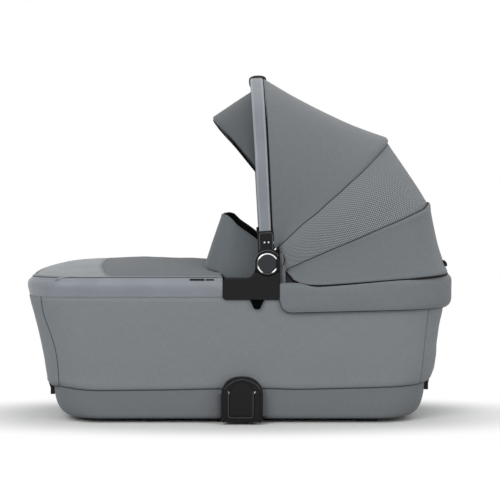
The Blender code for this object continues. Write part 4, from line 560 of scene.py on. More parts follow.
def add_bump(tree, shader, height, distance):
    """Adds a bump on top of what already bends the shader's normal."""
    bump = add_node(tree, "Bump", {"Distance": distance, "Strength": 1.0, "Height": height})
    before = shader.inputs["Normal"].links
    if before:
        tree.links.new(before[0].from_socket, bump.inputs["Normal"])
    tree.links.new(bump.outputs["Normal"], shader.inputs["Normal"])


def base_material(name, colour, roughness, metallic=0.0):
    made = bpy.data.materials.new(name)
    made.use_nodes = True
    shader = made.node_tree.nodes["Principled BSDF"]
    shader.inputs["Base Color"].default_value = srgb(*colour)
    shader.inputs["Roughness"].default_value = roughness
    shader.inputs["Metallic"].default_value = metallic
    return made, made.node_tree, shader


def wave(tree, along, pitch):
    turns = math_node(tree, "MULTIPLY", along, 2 * math.pi / pitch)
    return math_node(tree, "COSINE", turns)


def shade(colour, share=1.0):
    """The linear colour of a display colour made lighter or darker by a share."""
    return srgb(*(min(max(level * share, 0.0), FULL_LEVEL) for level in colour))


def patchy_tone(tree, vector, colour, scale, detail, spread_share):
    """A colour that grows a little lighter and darker in patches."""
    patches = map_range(tree, noise_at(tree, vector, scale, detail), *PATCH_RANGE)
    return blend_colours(tree, patches, shade(colour, 1 - spread_share), shade(colour, 1 + spread_share))


def woven(name, colour, pitch=0.0011, contrast=0.05, roughness=0.85, sheen=0.25, uses_cloth=True):
    """A plain weave with slubs in both threads, soft creases and a slight sheen."""
    fine, slub, weave_share, worn_share = 900.0, 60.0, 0.12, 1.06
    made, tree, shader = base_material(name, colour, roughness)
    vector = cloth_place(tree) if uses_cloth else object_place(tree)
    along, across = split_place(tree, vector)[:2]
    weave = math_node(tree, "MULTIPLY", wave(tree, along, pitch), wave(tree, across, pitch))
    warp = noise_at(tree, vector, 1.0, 3.0, (fine, slub, fine))
    weft = noise_at(tree, vector, 1.0, 3.0, (slub, fine, slub))
    threads = math_node(tree, "ADD", warp, weft)
    threads = math_node(tree, "ADD", threads, math_node(tree, "MULTIPLY", weave, weave_share))
    factor = map_range(tree, threads, *THREAD_RANGE)
    tone = blend_colours(tree, factor, shade(colour, 1 - contrast), shade(colour, 1 + contrast))
    spread = math_node(tree, "MULTIPLY", noise_at(tree, vector, 7.0), 0.35)
    colour_now = blend_colours(tree, spread, tone, shade(colour, worn_share))
    tree.links.new(colour_now, shader.inputs["Base Color"])
    shader.inputs["Sheen Weight"].default_value = sheen
    shader.inputs["Sheen Roughness"].default_value = 0.5
    shader.inputs["Specular IOR Level"].default_value = CLOTH_SHINE
    add_bump(tree, shader, noise_at(tree, vector, 22.0, 3.0), CREASE_DEPTH)
    add_bump(tree, shader, threads, THREAD_DEPTH)
    return made


def spacer_mesh(name, colour, pitch, row_pitch, contrast, fade=None):
    """A knitted spacer mesh: raised dots in offset rows over a darker ground.

    The dots of a faded mesh are clearest near one edge and low down.
    """
    made, tree, shader = base_material(name, colour, 0.9)
    vector = cloth_place(tree)
    along, across = split_place(tree, vector)[:2]
    dots = math_node(tree, "MULTIPLY", wave(tree, along, pitch), wave(tree, across, 2 * row_pitch))
    factor = map_range(tree, dots, *DOT_RANGE)
    tone = blend_colours(tree, factor, shade(colour, 1 - contrast * 0.5), shade(colour, 1 + contrast))
    if fade is not None:
        near, far, kept = fade
        height = split_place(tree, object_place(tree))["Z"]
        by_edge = map_range(tree, across, far, near, kept, 1.0)
        by_height = map_range(tree, height, MESH_FADE_LOW, MESH_FADE_TOP, 1.0, kept)
        strength = math_node(tree, "MULTIPLY", by_edge, by_height)
        tone = blend_colours(tree, strength, shade(colour, 1 - contrast * 0.08), tone)
        factor = math_node(tree, "MULTIPLY", factor, strength)
    fine = math_node(tree, "MULTIPLY", noise_at(tree, vector, 700.0), 0.2)
    tree.links.new(blend_colours(tree, fine, tone, shade(colour, 0.94)), shader.inputs["Base Color"])
    shader.inputs["Sheen Weight"].default_value = 0.2
    shader.inputs["Specular IOR Level"].default_value = CLOTH_SHINE
    add_bump(tree, shader, noise_at(tree, vector, 18.0), CREASE_DEPTH)
    add_bump(tree, shader, factor, DOT_DEPTH)
    return made


def leatherette(name, colour, roughness=0.5):
    """Coated cloth with a fine cell grain and soft creases."""
    made, tree, shader = base_material(name, colour, roughness)
    vector = cloth_place(tree)
    cells = add_node(tree, "TexVoronoi", {"Scale": LEATHER_GRAIN, "Vector": vector}).outputs["Distance"]
    tree.links.new(patchy_tone(tree, vector, colour, 30.0, 3.0, 0.04), shader.inputs["Base Color"])
    shader.inputs["Specular IOR Level"].default_value = 0.35
    add_bump(tree, shader, noise_at(tree, vector, 25.0), CREASE_DEPTH)
    add_bump(tree, shader, cells, LEATHER_DEPTH)
    return made


def plastic(name, colour, roughness, depth=0.00004, shine=0.5):
    """Moulded plastic with a fine spark texture and slightly uneven gloss."""
    made, tree, shader = base_material(name, colour, roughness)
    vector = object_place(tree)
    gloss = map_range(tree, noise_at(tree, vector, 60.0, 3.0), start=roughness * 0.85, end=roughness * 1.15)
    tree.links.new(gloss, shader.inputs["Roughness"])
    tree.links.new(patchy_tone(tree, vector, colour, 25.0, 2.0, 0.03), shader.inputs["Base Color"])
    shader.inputs["Specular IOR Level"].default_value = shine
    add_bump(tree, shader, noise_at(tree, vector, PLASTIC_GRAIN, 1.0), depth)
    return made


def metal(name, colour, roughness, brush_depth):
    """Brushed metal whose gloss changes a little along the brush marks."""
    spread = 0.05
    made, tree, shader = base_material(name, colour, roughness, 1.0)
    smear = noise_at(tree, object_place(tree), 1.0, 2.0, (300.0, 300.0, 900.0))
    gloss = map_range(tree, smear, start=roughness - spread, end=roughness + spread)
    tree.links.new(gloss, shader.inputs["Roughness"])
    add_bump(tree, shader, smear, brush_depth)
    return made


def painted_reflection_metal(name):
    """Bright metal whose colour is painted lighter and darker by angle round the hub, as painted reflections
    of light in some directions and dark in others.
    """
    made, tree, shader = base_material(name, WHITE, 0.16, 1.0)
    spot = split_place(tree, object_place(tree))
    aside = math_node(tree, "SUBTRACT", spot["X"], AXIS_X)
    up = math_node(tree, "SUBTRACT", spot["Z"], AXIS_Z)
    angle = math_node(tree, "ARCTAN2", up, aside)
    turn = math_node(tree, "MULTIPLY_ADD", angle, 1 / (2 * math.pi), 0.5)
    colours = add_node(tree, "ValToRGB", {"Fac": turn})
    stops = colours.color_ramp.elements
    for i, (place, level) in enumerate(RING_PAINTED_REFLECTION_LEVELS):
        stop = stops[i] if i < 2 else stops.new(place)
        stop.position = place
        stop.color = srgb(level, level, level)
    tree.links.new(colours.outputs["Color"], shader.inputs["Base Color"])
    return made


def make_materials():
    return {
        "hood": woven("hood_cloth", (121, 126, 130), contrast=0.06),
        "hood_inside": woven("hood_lining", (96, 100, 104), contrast=0.05),
        "mesh": spacer_mesh("hood_mesh", (139, 144, 148), 0.0056, 0.0031, 0.50, (0.090, 0.010, 0.45)),
        "tub": woven("tub_cloth", (139, 144, 148), contrast=0.045, roughness=0.75, sheen=0.1),
        "skirt": woven("skirt_cloth", (123, 128, 132), contrast=0.045, roughness=0.75, sheen=0.1),
        "bumper": woven("bumper_cloth", (125, 130, 134), contrast=0.05),
        "apron": leatherette("apron_leatherette", (151, 156, 160)),
        "apron_mesh": spacer_mesh("apron_mesh", (130, 135, 140), 0.0042, 0.0026, 0.42),
        "flap": woven("flap_cloth", (109, 115, 119), contrast=0.05),
        "visor": woven("visor_cloth", (92, 97, 101), contrast=0.05),
        "lining": woven("dark_lining", (6, 5, 5), contrast=0.2, sheen=0.0),
        "thread": woven("seam_thread", (62, 66, 70), pitch=0.0008, contrast=0.1),
        "faint_thread": woven("faint_thread", (112, 117, 121), pitch=0.0008, contrast=0.1),
        "binding": woven("dark_binding", (40, 43, 46), pitch=0.0008, contrast=0.1),
        "gusset": woven("dark_gusset", (74, 72, 75), contrast=0.08),
        "foam": woven("mattress_cover", (205, 207, 210), pitch=0.0016, contrast=0.05),
        "rim": plastic("rim_plastic", (144, 149, 157), 0.40),
        "bow": plastic("bow_coating", (139, 144, 151), 0.40, depth=0.00002, shine=0.35),
        # The bow's edge facets are painted lighter, a painted highlight.
        "bow_painted_highlight_edge": plastic("bow_painted_highlight_edge", (160, 165, 171), 0.35, depth=0.00002, shine=0.35),
        "black": plastic("black_plastic", (21, 21, 23), 0.42, shine=0.18),
        # The bracket's tongue is the black plastic painted near black, as shade under the bracket.
        "tongue": plastic("tongue_plastic_painted_shade", (6, 6, 7), 0.70, shine=0.02),
        # Lighter lines along the edges of dark parts, a painted highlight.
        "edge": plastic("painted_edge_highlight", (92, 95, 98), 0.40, shine=0.3),
        "knob": plastic("knob_plastic", (44, 48, 51), 0.42, shine=0.25),
        "grip": leatherette("grip_leatherette", (22, 23, 25), 0.55),
        # The ring's brightness round the hub is painted reflection.
        "ring": painted_reflection_metal("ring_chrome_painted_reflections"),
        "steel": metal("steel", (190, 192, 195), 0.30, 0.00002),
        "dull_steel": metal("dull_steel", (112, 114, 118), 0.35, 0.00002),
        "rib": plastic("rib_coating", (30, 31, 33), 0.45, shine=0.25),
        "tube": metal("tube_aluminium", (150, 153, 157), 0.40, 0.00003),
        "rubber": plastic("rubber", (46, 47, 50), 0.8, depth=0.0001),
        "webbing_solid": woven("webbing_solid", (34, 34, 35), pitch=0.0018, contrast=0.2,
                               uses_cloth=False),
    }


# Shapes

def arch_curve(half_width, crown, leg, power, start=0.0, steps=ARCH_STEPS):
    """Points (y, r, ny, nr) of an arch with straight legs and a superelliptic top.

    They are spread evenly by length from r = start on the -Y leg, over the crown.
    """
    fine = 240
    dense = [(half_width, 0.0)]
    for i in range(fine + 1):
        angle = QUARTER * i / fine
        y = half_width * abs(math.cos(angle)) ** (2 / power) if i < fine else 0.0
        r = leg + (crown - leg) * math.sin(angle) ** (2 / power)
        dense.append((y, r))
    trimmed = []
    for (y0, r0), (y1, r1) in zip(dense, dense[1:]):
        if r1 <= start:
            continue
        if r0 < start:
            share = (start - r0) / (r1 - r0)
            y0, r0 = y0 + (y1 - y0) * share, start
        if not trimmed:
            trimmed.append((y0, r0))
        trimmed.append((y1, r1))
    lengths = [0.0]
    for (y0, r0), (y1, r1) in zip(trimmed, trimmed[1:]):
        lengths.append(lengths[-1] + math.hypot(y1 - y0, r1 - r0))
    half = []
    k = 0
    for i in range(steps // 2 + 1):
        want = lengths[-1] * 2 * i / steps
        while k < len(lengths) - 2 and lengths[k + 1] < want:
            k += 1
        span = lengths[k + 1] - lengths[k]
        share = (want - lengths[k]) / span if span else 0.0
        y = trimmed[k][0] + (trimmed[k + 1][0] - trimmed[k][0]) * share
        r = trimmed[k][1] + (trimmed[k + 1][1] - trimmed[k][1]) * share
        half.append((y, r))
    line = [(-y, r) for y, r in half] + list(reversed(half[:-1]))
    points = []
    for i, (y, r) in enumerate(line):
        before, after = line[max(i - 1, 0)], line[min(i + 1, len(line) - 1)]
        dy, dr = after[0] - before[0], after[1] - before[1]
        length = math.hypot(dy, dr)
        if i in (0, len(line) - 1):
            points.append((y, r, math.copysign(1.0, y), 0.0))
        else:
            points.append((y, r, -dr / length, dy / length))
    return points


def in_plane(origin, angle, r, aside, y):
    """A point r out from an axis along Y, and set aside across the plane."""
    x = origin[0] + r * math.sin(angle) + aside * math.cos(angle)
    z = origin[1] + r * math.cos(angle) - aside * math.sin(angle)
    return Vector((x, y, z))


def arch_line(origin, angle, curve, aside):
    return [in_plane(origin, angle, r, aside, y) for y, r, ny, nr in curve]


def seam_line(origin, angle, curve, shifts, aside=0.0):
    """A rib's seam, shifted off the rib by a table of distances from the axis and shifts."""
    return [in_plane(origin, angle, r, curve_value(shifts, r) + aside, y) for y, r, ny, nr in curve]


def u_path(open_end, closed_end, half_width, corner, side_steps=24, end_steps=16):
    """A U in plan from its -Y end round the closed end to its +Y end."""
    way = 1.0 if closed_end > open_end else -1.0
    middle = closed_end - way * corner
    inner = half_width - corner
    points = []
    for i in range(side_steps):
        share = i / side_steps
        points.append((open_end + (middle - open_end) * share, -half_width))
    for i in range(CORNER_STEPS + 1):
        angle = QUARTER * i / CORNER_STEPS
        x = middle + way * corner * math.sin(angle)
        points.append((x, -inner - corner * math.cos(angle)))
    across = [(closed_end, inner * (2 * i / end_steps - 1)) for i in range(1, end_steps)]
    return points + across + [(x, -y) for x, y in reversed(points)]


def plan_loop(foot, head, half_width, corner, height):
    """A closed line round a plan with round corners.  The height is a number or a function of x."""
    side_steps, end_steps = 36, 12
    inner = half_width - corner
    centres = [(corner - foot, -inner), (corner - foot, inner), (head - corner, inner),
               (head - corner, -inner)]
    ways = [(0, -1), (-1, 0), (0, 1), (1, 0)]
    points = []
    for k, ((x, y), (way_x, way_y)) in enumerate(zip(centres, ways)):
        next_x, next_y = ways[(k + 1) % len(ways)]
        from_x, from_y = centres[k - 1]
        steps = end_steps if way_x else side_steps
        for i in range(steps):
            points.append((between(from_x, x, i / steps) + way_x * corner,
                           between(from_y, y, i / steps) + way_y * corner))
        for i in range(CORNER_STEPS):
            angle = QUARTER * i / CORNER_STEPS
            points.append((x + corner * (way_x * math.cos(angle) + next_x * math.sin(angle)),
                           y + corner * (way_y * math.cos(angle) + next_y * math.sin(angle))))
    level = height if callable(height) else (lambda x: height)
    return [Vector((x, y, level(x))) for x, y in points]


def circle_steps(count):
    return [2 * math.pi * i / count for i in range(count)]


def new_piece(name, data, finish=None):
    """A named object of some mesh data in the scene."""
    made = bpy.data.objects.new(name, data)
    bpy.context.scene.collection.objects.link(made)
    if finish is not None:
        data.materials.append(finish)
    return made


def lengths_along(points, closed=False):
    total = [0.0]
    for a, b in zip(points, points[1:] + (points[:1] if closed else [])):
        total.append(total[-1] + (b - a).length)
    return total


def grid_piece(name, rows, finish, closed=False):
    """A sheet from rows of points, with its threads' coordinates in metres."""
    count = len(rows[0])
    verts = [point for row in rows for point in row]
    along = [lengths_along(row, closed) for row in rows]
    down = lengths_along([row[count // 3] for row in rows])
    mesh = bpy.data.meshes.new(name)
    faces, corners = [], []
    columns = count if closed else count - 1
    for i in range(len(rows) - 1):
        for j in range(columns):
            k = (j + 1) % count
            faces.append((i * count + j, i * count + k, (i + 1) * count + k, (i + 1) * count + j))
            corners += [(along[i][j], down[i]), (along[i][j + 1], down[i]),
                        (along[i + 1][j + 1], down[i + 1]), (along[i + 1][j], down[i + 1])]
    mesh.from_pydata([tuple(v) for v in verts], [], faces)
    cloth = mesh.uv_layers.new(name="cloth")
    for loop, (u, v) in zip(cloth.data, corners):
        loop.uv = (u, v)
    mesh.shade_smooth()
    return new_piece(name, mesh, finish)


def face_out(piece, centre):
    """Turns a sheet's faces away from a point."""
    total = 0.0
    for face in piece.data.polygons:
        total += face.normal.dot(face.center - Vector(centre)) * face.area
    if total < 0:
        piece.data.flip_normals()
    return piece


def thicken(piece, thickness, inside=None, even=True):
    """Gives a sheet its thickness inwards, with another finish inside."""
    change = piece.modifiers.new("thickness", "SOLIDIFY")
    change.thickness = thickness
    change.offset = -1.0
    change.use_even_offset = even
    if inside is not None:
        piece.data.materials.append(inside)
        change.material_offset = 1
    return piece


def flatten(piece):
    """Applies a piece's modifiers to its mesh."""
    seen = piece.evaluated_get(bpy.context.evaluated_depsgraph_get())
    mesh = bpy.data.meshes.new_from_object(seen)
    old = piece.data
    piece.modifiers.clear()
    piece.data = mesh
    bpy.data.meshes.remove(old)
    return piece


def turn_faces_out(data, caps=()):
    """Closes a mesh with caps of vertex numbers and turns its faces outwards."""
    mesh = bmesh.new()
    mesh.from_mesh(data)
    mesh.verts.ensure_lookup_table()
    for cap in caps:
        mesh.faces.new([mesh.verts[j] for j in cap])
    bmesh.ops.recalc_face_normals(mesh, faces=mesh.faces)
    mesh.to_mesh(data)
    mesh.free()


def swept_piece(name, rings, finish, capped=True):
    """A closed section swept along rings, with threads along and round it."""
    made = grid_piece(name, rings, finish, closed=True)
    count = len(rings[0])
    total = len(rings) * count
    caps = (range(count - 1, -1, -1), range(total - count, total)) if capped else ()
    turn_faces_out(made.data, caps)
    made.data.shade_smooth()
    return made


def tube_along(name, points, radius, finish, closed=False, sides=8):
    """A thin round tube on a line, for piping and seams."""
    curve = bpy.data.curves.new(name, "CURVE")
    curve.dimensions = "3D"
    curve.bevel_depth = radius
    curve.bevel_resolution = sides // 4
    curve.use_fill_caps = True
    spline = curve.splines.new("POLY")
    spline.points.add(len(points) - 1)
    for spot, point in zip(spline.points, points):
        spot.co = (*point, 1.0)
    spline.use_cyclic_u = closed
    line = new_piece(name, curve)
    mesh = bpy.data.meshes.new_from_object(line)
    bpy.data.objects.remove(line)
    bpy.data.curves.remove(curve)
    mesh.materials.clear()
    piece = new_piece(name, mesh, finish)
    mesh.shade_smooth()
    return piece


def attach(piece, body, node=None):
    """Lets a piece move with a body, and hides the solid that it stands for."""
    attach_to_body(piece, body)
    if node is not None:
        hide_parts(node)
    return piece


def add_capsule(mesh, start, end, radius):
    """A short thread with narrowed ends."""
    end_share, narrow_share = 0.2, 0.45
    way = end - start
    side = way.cross(STITCH_SIDE).normalized()
    other = way.cross(side).normalized()
    rings = []
    for along, wide in ((0.0, narrow_share), (end_share, 1.0), (1 - end_share, 1.0), (1.0, narrow_share)):
        middle = start.lerp(end, along)
        rings.append([mesh.verts.new(middle + (side * a + other * b) * radius * wide)
                      for a, b in ((1, 0), (0, 1), (-1, 0), (0, -1))])
    for first, second in zip(rings, rings[1:]):
        for j in range(4):
            mesh.faces.new((first[j], first[(j + 1) % 4], second[(j + 1) % 4], second[j]))
    mesh.faces.new(list(reversed(rings[0])))
    mesh.faces.new(rings[-1])


def stitches(name, points, finish, pitch=STITCH_PITCH, share=0.62, radius=STITCH_RADIUS):
    """A row of thread stitches along a line, as one mesh of short capsules."""
    along = lengths_along(points)
    mesh = bmesh.new()
    k = 0
    for i in range(int(along[-1] / pitch)):
        ends = []
        for place in (i * pitch, i * pitch + pitch * share):
            while k < len(along) - 2 and along[k + 1] < place:
                k += 1
            while k > 0 and along[k] > place:
                k -= 1
            ends.append(points[k].lerp(points[k + 1], (place - along[k]) / (along[k + 1] - along[k])))
        add_capsule(mesh, *ends, radius)
    bmesh.ops.recalc_face_normals(mesh, faces=mesh.faces)
    made = bpy.data.meshes.new(name)
    mesh.to_mesh(made)
    mesh.free()
    made.shade_smooth()
    return new_piece(name, made, finish)


def between(a, b, share):
    return a + (b - a) * share


def limit(share):
    return min(max(share, 0.0), 1.0)


def smooth_share(share):
    share = limit(share)
    return share * share * (3 - 2 * share)


def ripple(point, size, depth):
    """A slow, steady unevenness of cloth at a point."""
    return noise.noise(point / size) * depth


def outward(point, end_share):
    """The level way out of the cot at a point, its pull to the ends lessened by a share."""
    return Vector((point.x * end_share, point.y, 0.0)).normalized()


def curve_value(table, at):
    """A smooth reading of a table of (place, value)."""
    if at <= table[0][0]:
        return table[0][1]
    for (a, va), (b, vb) in zip(table, table[1:]):
        if at <= b:
            return va + (vb - va) * smooth_share((at - a) / (b - a))
    return table[-1][1]


def straight_value(table, at):
    if at <= table[0][0]:
        return table[0][1]
    for (a, va), (b, vb) in zip(table, table[1:]):
        if at <= b:
            return va + (vb - va) * (at - a) / (b - a)
    return table[-1][1]


def cutter(name, outline, y_from, y_to, finish=None):
    """A prism along Y."""
    count = len(outline)
    verts = [(x, y, z) for y in (y_from, y_to) for x, z in outline]
    faces = [tuple(reversed(range(count))), tuple(range(count, 2 * count))]
    for i in range(count):
        j = (i + 1) % count
        faces.append((i, j, count + j, count + i))
    mesh = bpy.data.meshes.new(name)
    mesh.from_pydata(verts, [], faces)
    turn_faces_out(mesh)
    return new_piece(name, mesh, finish)


def cut(piece, tool):
    """Takes the tool's shape out of a piece and removes the tool."""
    change = piece.modifiers.new("cut", "BOOLEAN")
    change.operation = "DIFFERENCE"
    change.object = tool
    change.solver = "EXACT"
    flatten(piece)
    bpy.data.objects.remove(tool)
    piece.data.shade_smooth()


def seam_height(x):
    share = (x + SKIRT_FOOT) / (SKIRT_FOOT + SKIRT_HEAD)
    return between(SEAM_FOOT, SEAM_HEAD, share) + curve_value(SEAM_RISES, x)


def bumper_top(x):
    return straight_value(BUMPER_TOPS, x)


def bumper_low(x):
    return BUMPER_LOW + BUMPER_LOW_RISE * limit((x - BRACKET_BACK) / (BUMPER_HEAD - BRACKET_BACK))


# Tub

def tub_loops():
    """Level lines of the tub's wall from the seam up to the rim."""
    top = RIM_LOW - GAP
    turn = TUB_LOW - SEAM_FOOT
    steps = 18
    stages = [(0.0, turned) for turned in (0.0, 0.05, 0.14, 0.28, 0.48, 0.72)]
    stages += [(i / steps, 1.0) for i in range(steps + 1)]
    loops = []
    for up, turned in stages:
        out = math.sqrt(1 - (1 - turned) ** 2)

        def level(x, up=up, turned=turned):
            return between(seam_height(x) + GAP + turn * turned, top, up)

        def size(seam, low, high, up=up, out=out):
            return between(seam, low, out) + (high - low) * up

        foot = size(SKIRT_FOOT, TUB_LOW_FOOT, RIM_FOOT - TUB_INSET)
        foot += curve_value(TUB_FEET, level(-SKIRT_FOOT))
        head = size(SKIRT_HEAD, TUB_LOW_HEAD, TUB_HEAD) + curve_value(TUB_HEADS, level(SKIRT_HEAD))
        half = size(SKIRT_HALF_WIDTH, TUB_LOW_HALF_WIDTH, RIM_HALF_WIDTH - TUB_INSET)
        loops.append(plan_loop(foot, head, half, size(SKIRT_CORNER, TUB_LOW_CORNER, RIM_CORNER), level))
    return loops


def tub_seam_line(rows, table, sign, way):
    """A seam up the tub's wall, read from a table of heights and places along X."""
    line = []
    for row in rows:
        same = [point for point in row if point.y * sign > 0 and point.x * way > 0]
        height = min(same, key=lambda point: abs(point.x - table[0][1])).z
        want = straight_value(table, height)
        a, b = sorted(same, key=lambda point: abs(point.x - want))[:2]
        share = limit((want - a.x) / (b.x - a.x)) if abs(b.x - a.x) > TINY else 0.0
        point = a.lerp(b, share)
        line.append(point + outward(point, END_SHARE) * SEAM_LIFT)
    return line


def make_tub(finish):
    loops = tub_loops()
    rows = []
    for i, loop in enumerate(loops):
        free = math.sin(math.pi * i / (len(loops) - 1))
        row = []
        for point in loop:
            soft = ripple(point, *TUB_RIPPLE) + ripple(point + RIPPLE_STEP, *TUB_FINE_RIPPLE)
            row.append(point + outward(point, END_SHARE) * soft * free)
        rows.append(row)
    wall = face_out(grid_piece("tub_wall", rows, finish["tub"], closed=True), (0, 0, RIM_MIDDLE))
    thicken(wall, TUB_SHOWN_FABRIC, finish["lining"])
    perimeter = lengths_along(loops[-1], True)[-1]
    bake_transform(wall)
    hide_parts("tub_cover")
    for end, table, look in (("foot", TUB_SEAM_FOOT, "thread"), ("head", TUB_SEAM_HEAD, "faint_thread")):
        for side, sign in SIDES.items():
            line = tub_seam_line(rows[1:], table, sign, ENDS[end])
            seam = tube_along(f"tub_seam_{end}_{side}", line, TUB_SEAM_RADIUS, finish[look])
            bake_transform(seam)
    line = [point - UP * TUB_PIPING_DROP for point in loops[0]]
    piping = tube_along("tub_piping", line, TUB_PIPING, finish["thread"], closed=True)
    attach(piping, "base")


def skirt_rows():
    rows = []
    steps = 26
    for i in range(steps + 1):
        down = i / steps

        def level(x, down=down):
            return between(seam_height(x), SKIRT_LOW, down)

        end = SKIRT_TUCK_END * straight_value(END_TUCK_SHARES, down)
        half = SKIRT_HALF_WIDTH - SKIRT_TUCK_SIDE * straight_value(SIDE_TUCK_SHARES, down)
        rows.append(plan_loop(SKIRT_FOOT - end, SKIRT_HEAD - end, half, SKIRT_CORNER - end / 2, level))
    return rows


def notch_outline():
    """The skirt's cut round an adaptor, flared at its foot."""
    half = ADAPTOR_WIDTH / 2 - NOTCH_LAP
    wide = half + NOTCH_FLARE
    steps = 8
    angles = [QUARTER * i / steps for i in range(steps + 1)]

    def flare(sign):
        return [(ADAPTOR_X + sign * (half + NOTCH_FLARE * (1 - math.sin(angle))),
                 SKIRT_LOW + NOTCH_FLARE * (1 - math.cos(angle)) - GAP) for angle in angles]

    low = [(ADAPTOR_X - wide, NOTCH_LOW), (ADAPTOR_X + wide, NOTCH_LOW)]
    top = [(ADAPTOR_X + half, ADAPTOR_BLOCK_TOP), (ADAPTOR_X - half, ADAPTOR_BLOCK_TOP)]
    return low + flare(1) + top + list(reversed(flare(-1)))


def make_skirt(finish):
    rows = skirt_rows()
    skirt = face_out(grid_piece("skirt_cloth", rows, finish["skirt"], closed=True), (0, 0, SEAM_FOOT))
    thicken(skirt, SKIRT_SHOWN_FABRIC, finish["lining"])
    flatten(skirt)
    cut(skirt, cutter("skirt_notch", notch_outline(), -NOTCH_REACH, NOTCH_REACH))
    attach(skirt, "base", "base_skirt")
    perimeter = lengths_along(rows[0], True)[-1]


def make_liner(finish):
    rows = []
    steps = 16
    for i in range(steps + 1):
        share = i / steps
        end = between(LINER_LOW_END, LINER_TOP_END, share)
        half = between(LINER_LOW_HALF_WIDTH, LINER_TOP_HALF_WIDTH, share)
        loop = plan_loop(end, end, half, LINER_CORNER, between(LINER_LOW, LINER_TOP, share))
        rows.append([point - outward(point, LINER_END_SHARE) * (LINER_INSET + ripple(point, *LINER_RIPPLE))
                     for point in loop])
    liner = face_out(grid_piece("tub_lining", rows, finish["lining"], closed=True), (0, 0, RIM_LOW))
    thicken(liner, LINER_FABRIC)
    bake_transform(liner)
    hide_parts("tub_liner")
    perimeter = lengths_along(rows[-1], True)[-1]


def mattress_loop(inset, up, corner, half):
    length = MATTRESS_HALF_LENGTH - inset
    return plan_loop(length, length, half, corner, MATTRESS_LOW + MATTRESS_THICK * up)


def make_mattress(finish):
    """A foam pad in a fitted cover, crowned, with piping round both edges."""
    rows = []
    for up, inset in MATTRESS_INSETS:
        half = MATTRESS_HALF_WIDTH - inset
        corner = max(MATTRESS_CORNER - inset, MATTRESS_LEAST_CORNER)
        free = min(up, 1.0) if up > MATTRESS_FIRM_SHARE else 0.0
        rows.append([point + UP * ripple(point, *MATTRESS_RIPPLE) * free
                     for point in mattress_loop(inset, up, corner, half)])
    pad = swept_piece("mattress_pad", rows, finish["foam"])
    attach(pad, "base", "mattress")
    inset = MATTRESS_PIPING_INSET
    for name, up in MATTRESS_PIPING_SHARES.items():
        line = mattress_loop(inset, up, MATTRESS_CORNER - inset, MATTRESS_HALF_WIDTH - inset)
        attach(tube_along(name, line, MATTRESS_PIPING, finish["foam"], closed=True), "base")


def make_marks(finish):
    """The bright wedges on each adaptor's face, and lighter lines along its edges, a painted highlight."""
    for side, sign in SIDES.items():
        y = sorted((sign * MARK_IN, sign * MARK_OUT))
        for place, (x, slant) in MARKS.items():
            outline = [(x - MARK_HALF_WIDTH, MARK_TOP), (x + MARK_HALF_WIDTH, MARK_SHOULDER),
                       (x + slant, MARK_LOW)]
            attach(cutter(f"adaptor_mark_{place}_{side}", outline, *y, finish["steel"]), "base")
        for name, shape in ADAPTOR_LINES.items():
            line = [Vector((ADAPTOR_X + x, sign * ADAPTOR_FACE, z)) for x, z in shape]
            edge = tube_along(f"adaptor_{name}_edge_{side}", line, ADAPTOR_LINE, finish["edge"])
            attach(edge, "base")


# Rim and bumper

def make_rim(finish):
    """The foot half's moulding: a lip along its top and a face that tucks in below."""
    half_depth, half_height = RIM_DEPTH / 2, RIM_HEIGHT / 2
    depth_in, height_in = half_depth - RIM_SHOWN_WALL, half_height - RIM_SHOWN_WALL
    section = [(a * half_depth, b * half_height) for a, b in RIM_OUTLINE_SHARES]
    inner = [(a * depth_in, b * height_in) for a, b in RIM_OUTLINE_SHARES[2:-2]]
    section += [(-half_depth, -height_in)] + list(reversed(inner)) + [(-half_depth, height_in)]
    lines = []
    for offset, height in section:
        out = offset - half_depth
        path = u_path(BRACKET_FRONT - GAP, -RIM_FOOT - out, RIM_HALF_WIDTH + out, RIM_CORNER + out)
        lines.append([Vector((x, y, RIM_MIDDLE + height)) for x, y in path])
    rim = swept_piece("rim_shell", [list(ring) for ring in zip(*lines)], finish["rim"])
    rim.data.set_sharp_from_angle(angle=RIM_SHARP_ANGLE)
    attach(rim, "rim", "rim_moulding")
    inset = RIM_DEPTH - RIM_PIPING_INSET
    path = u_path(APRON_BACK - RIM_PIPING_BACK, inset - RIM_FOOT, RIM_HALF_WIDTH - inset, RIM_CORNER - inset)
    line = [Vector((x, y, RIM_TOP + RIM_PIPING_RISE)) for x, y in path]
    attach(tube_along("rim_piping", line, RIM_PIPING, finish["apron"]), "rim")


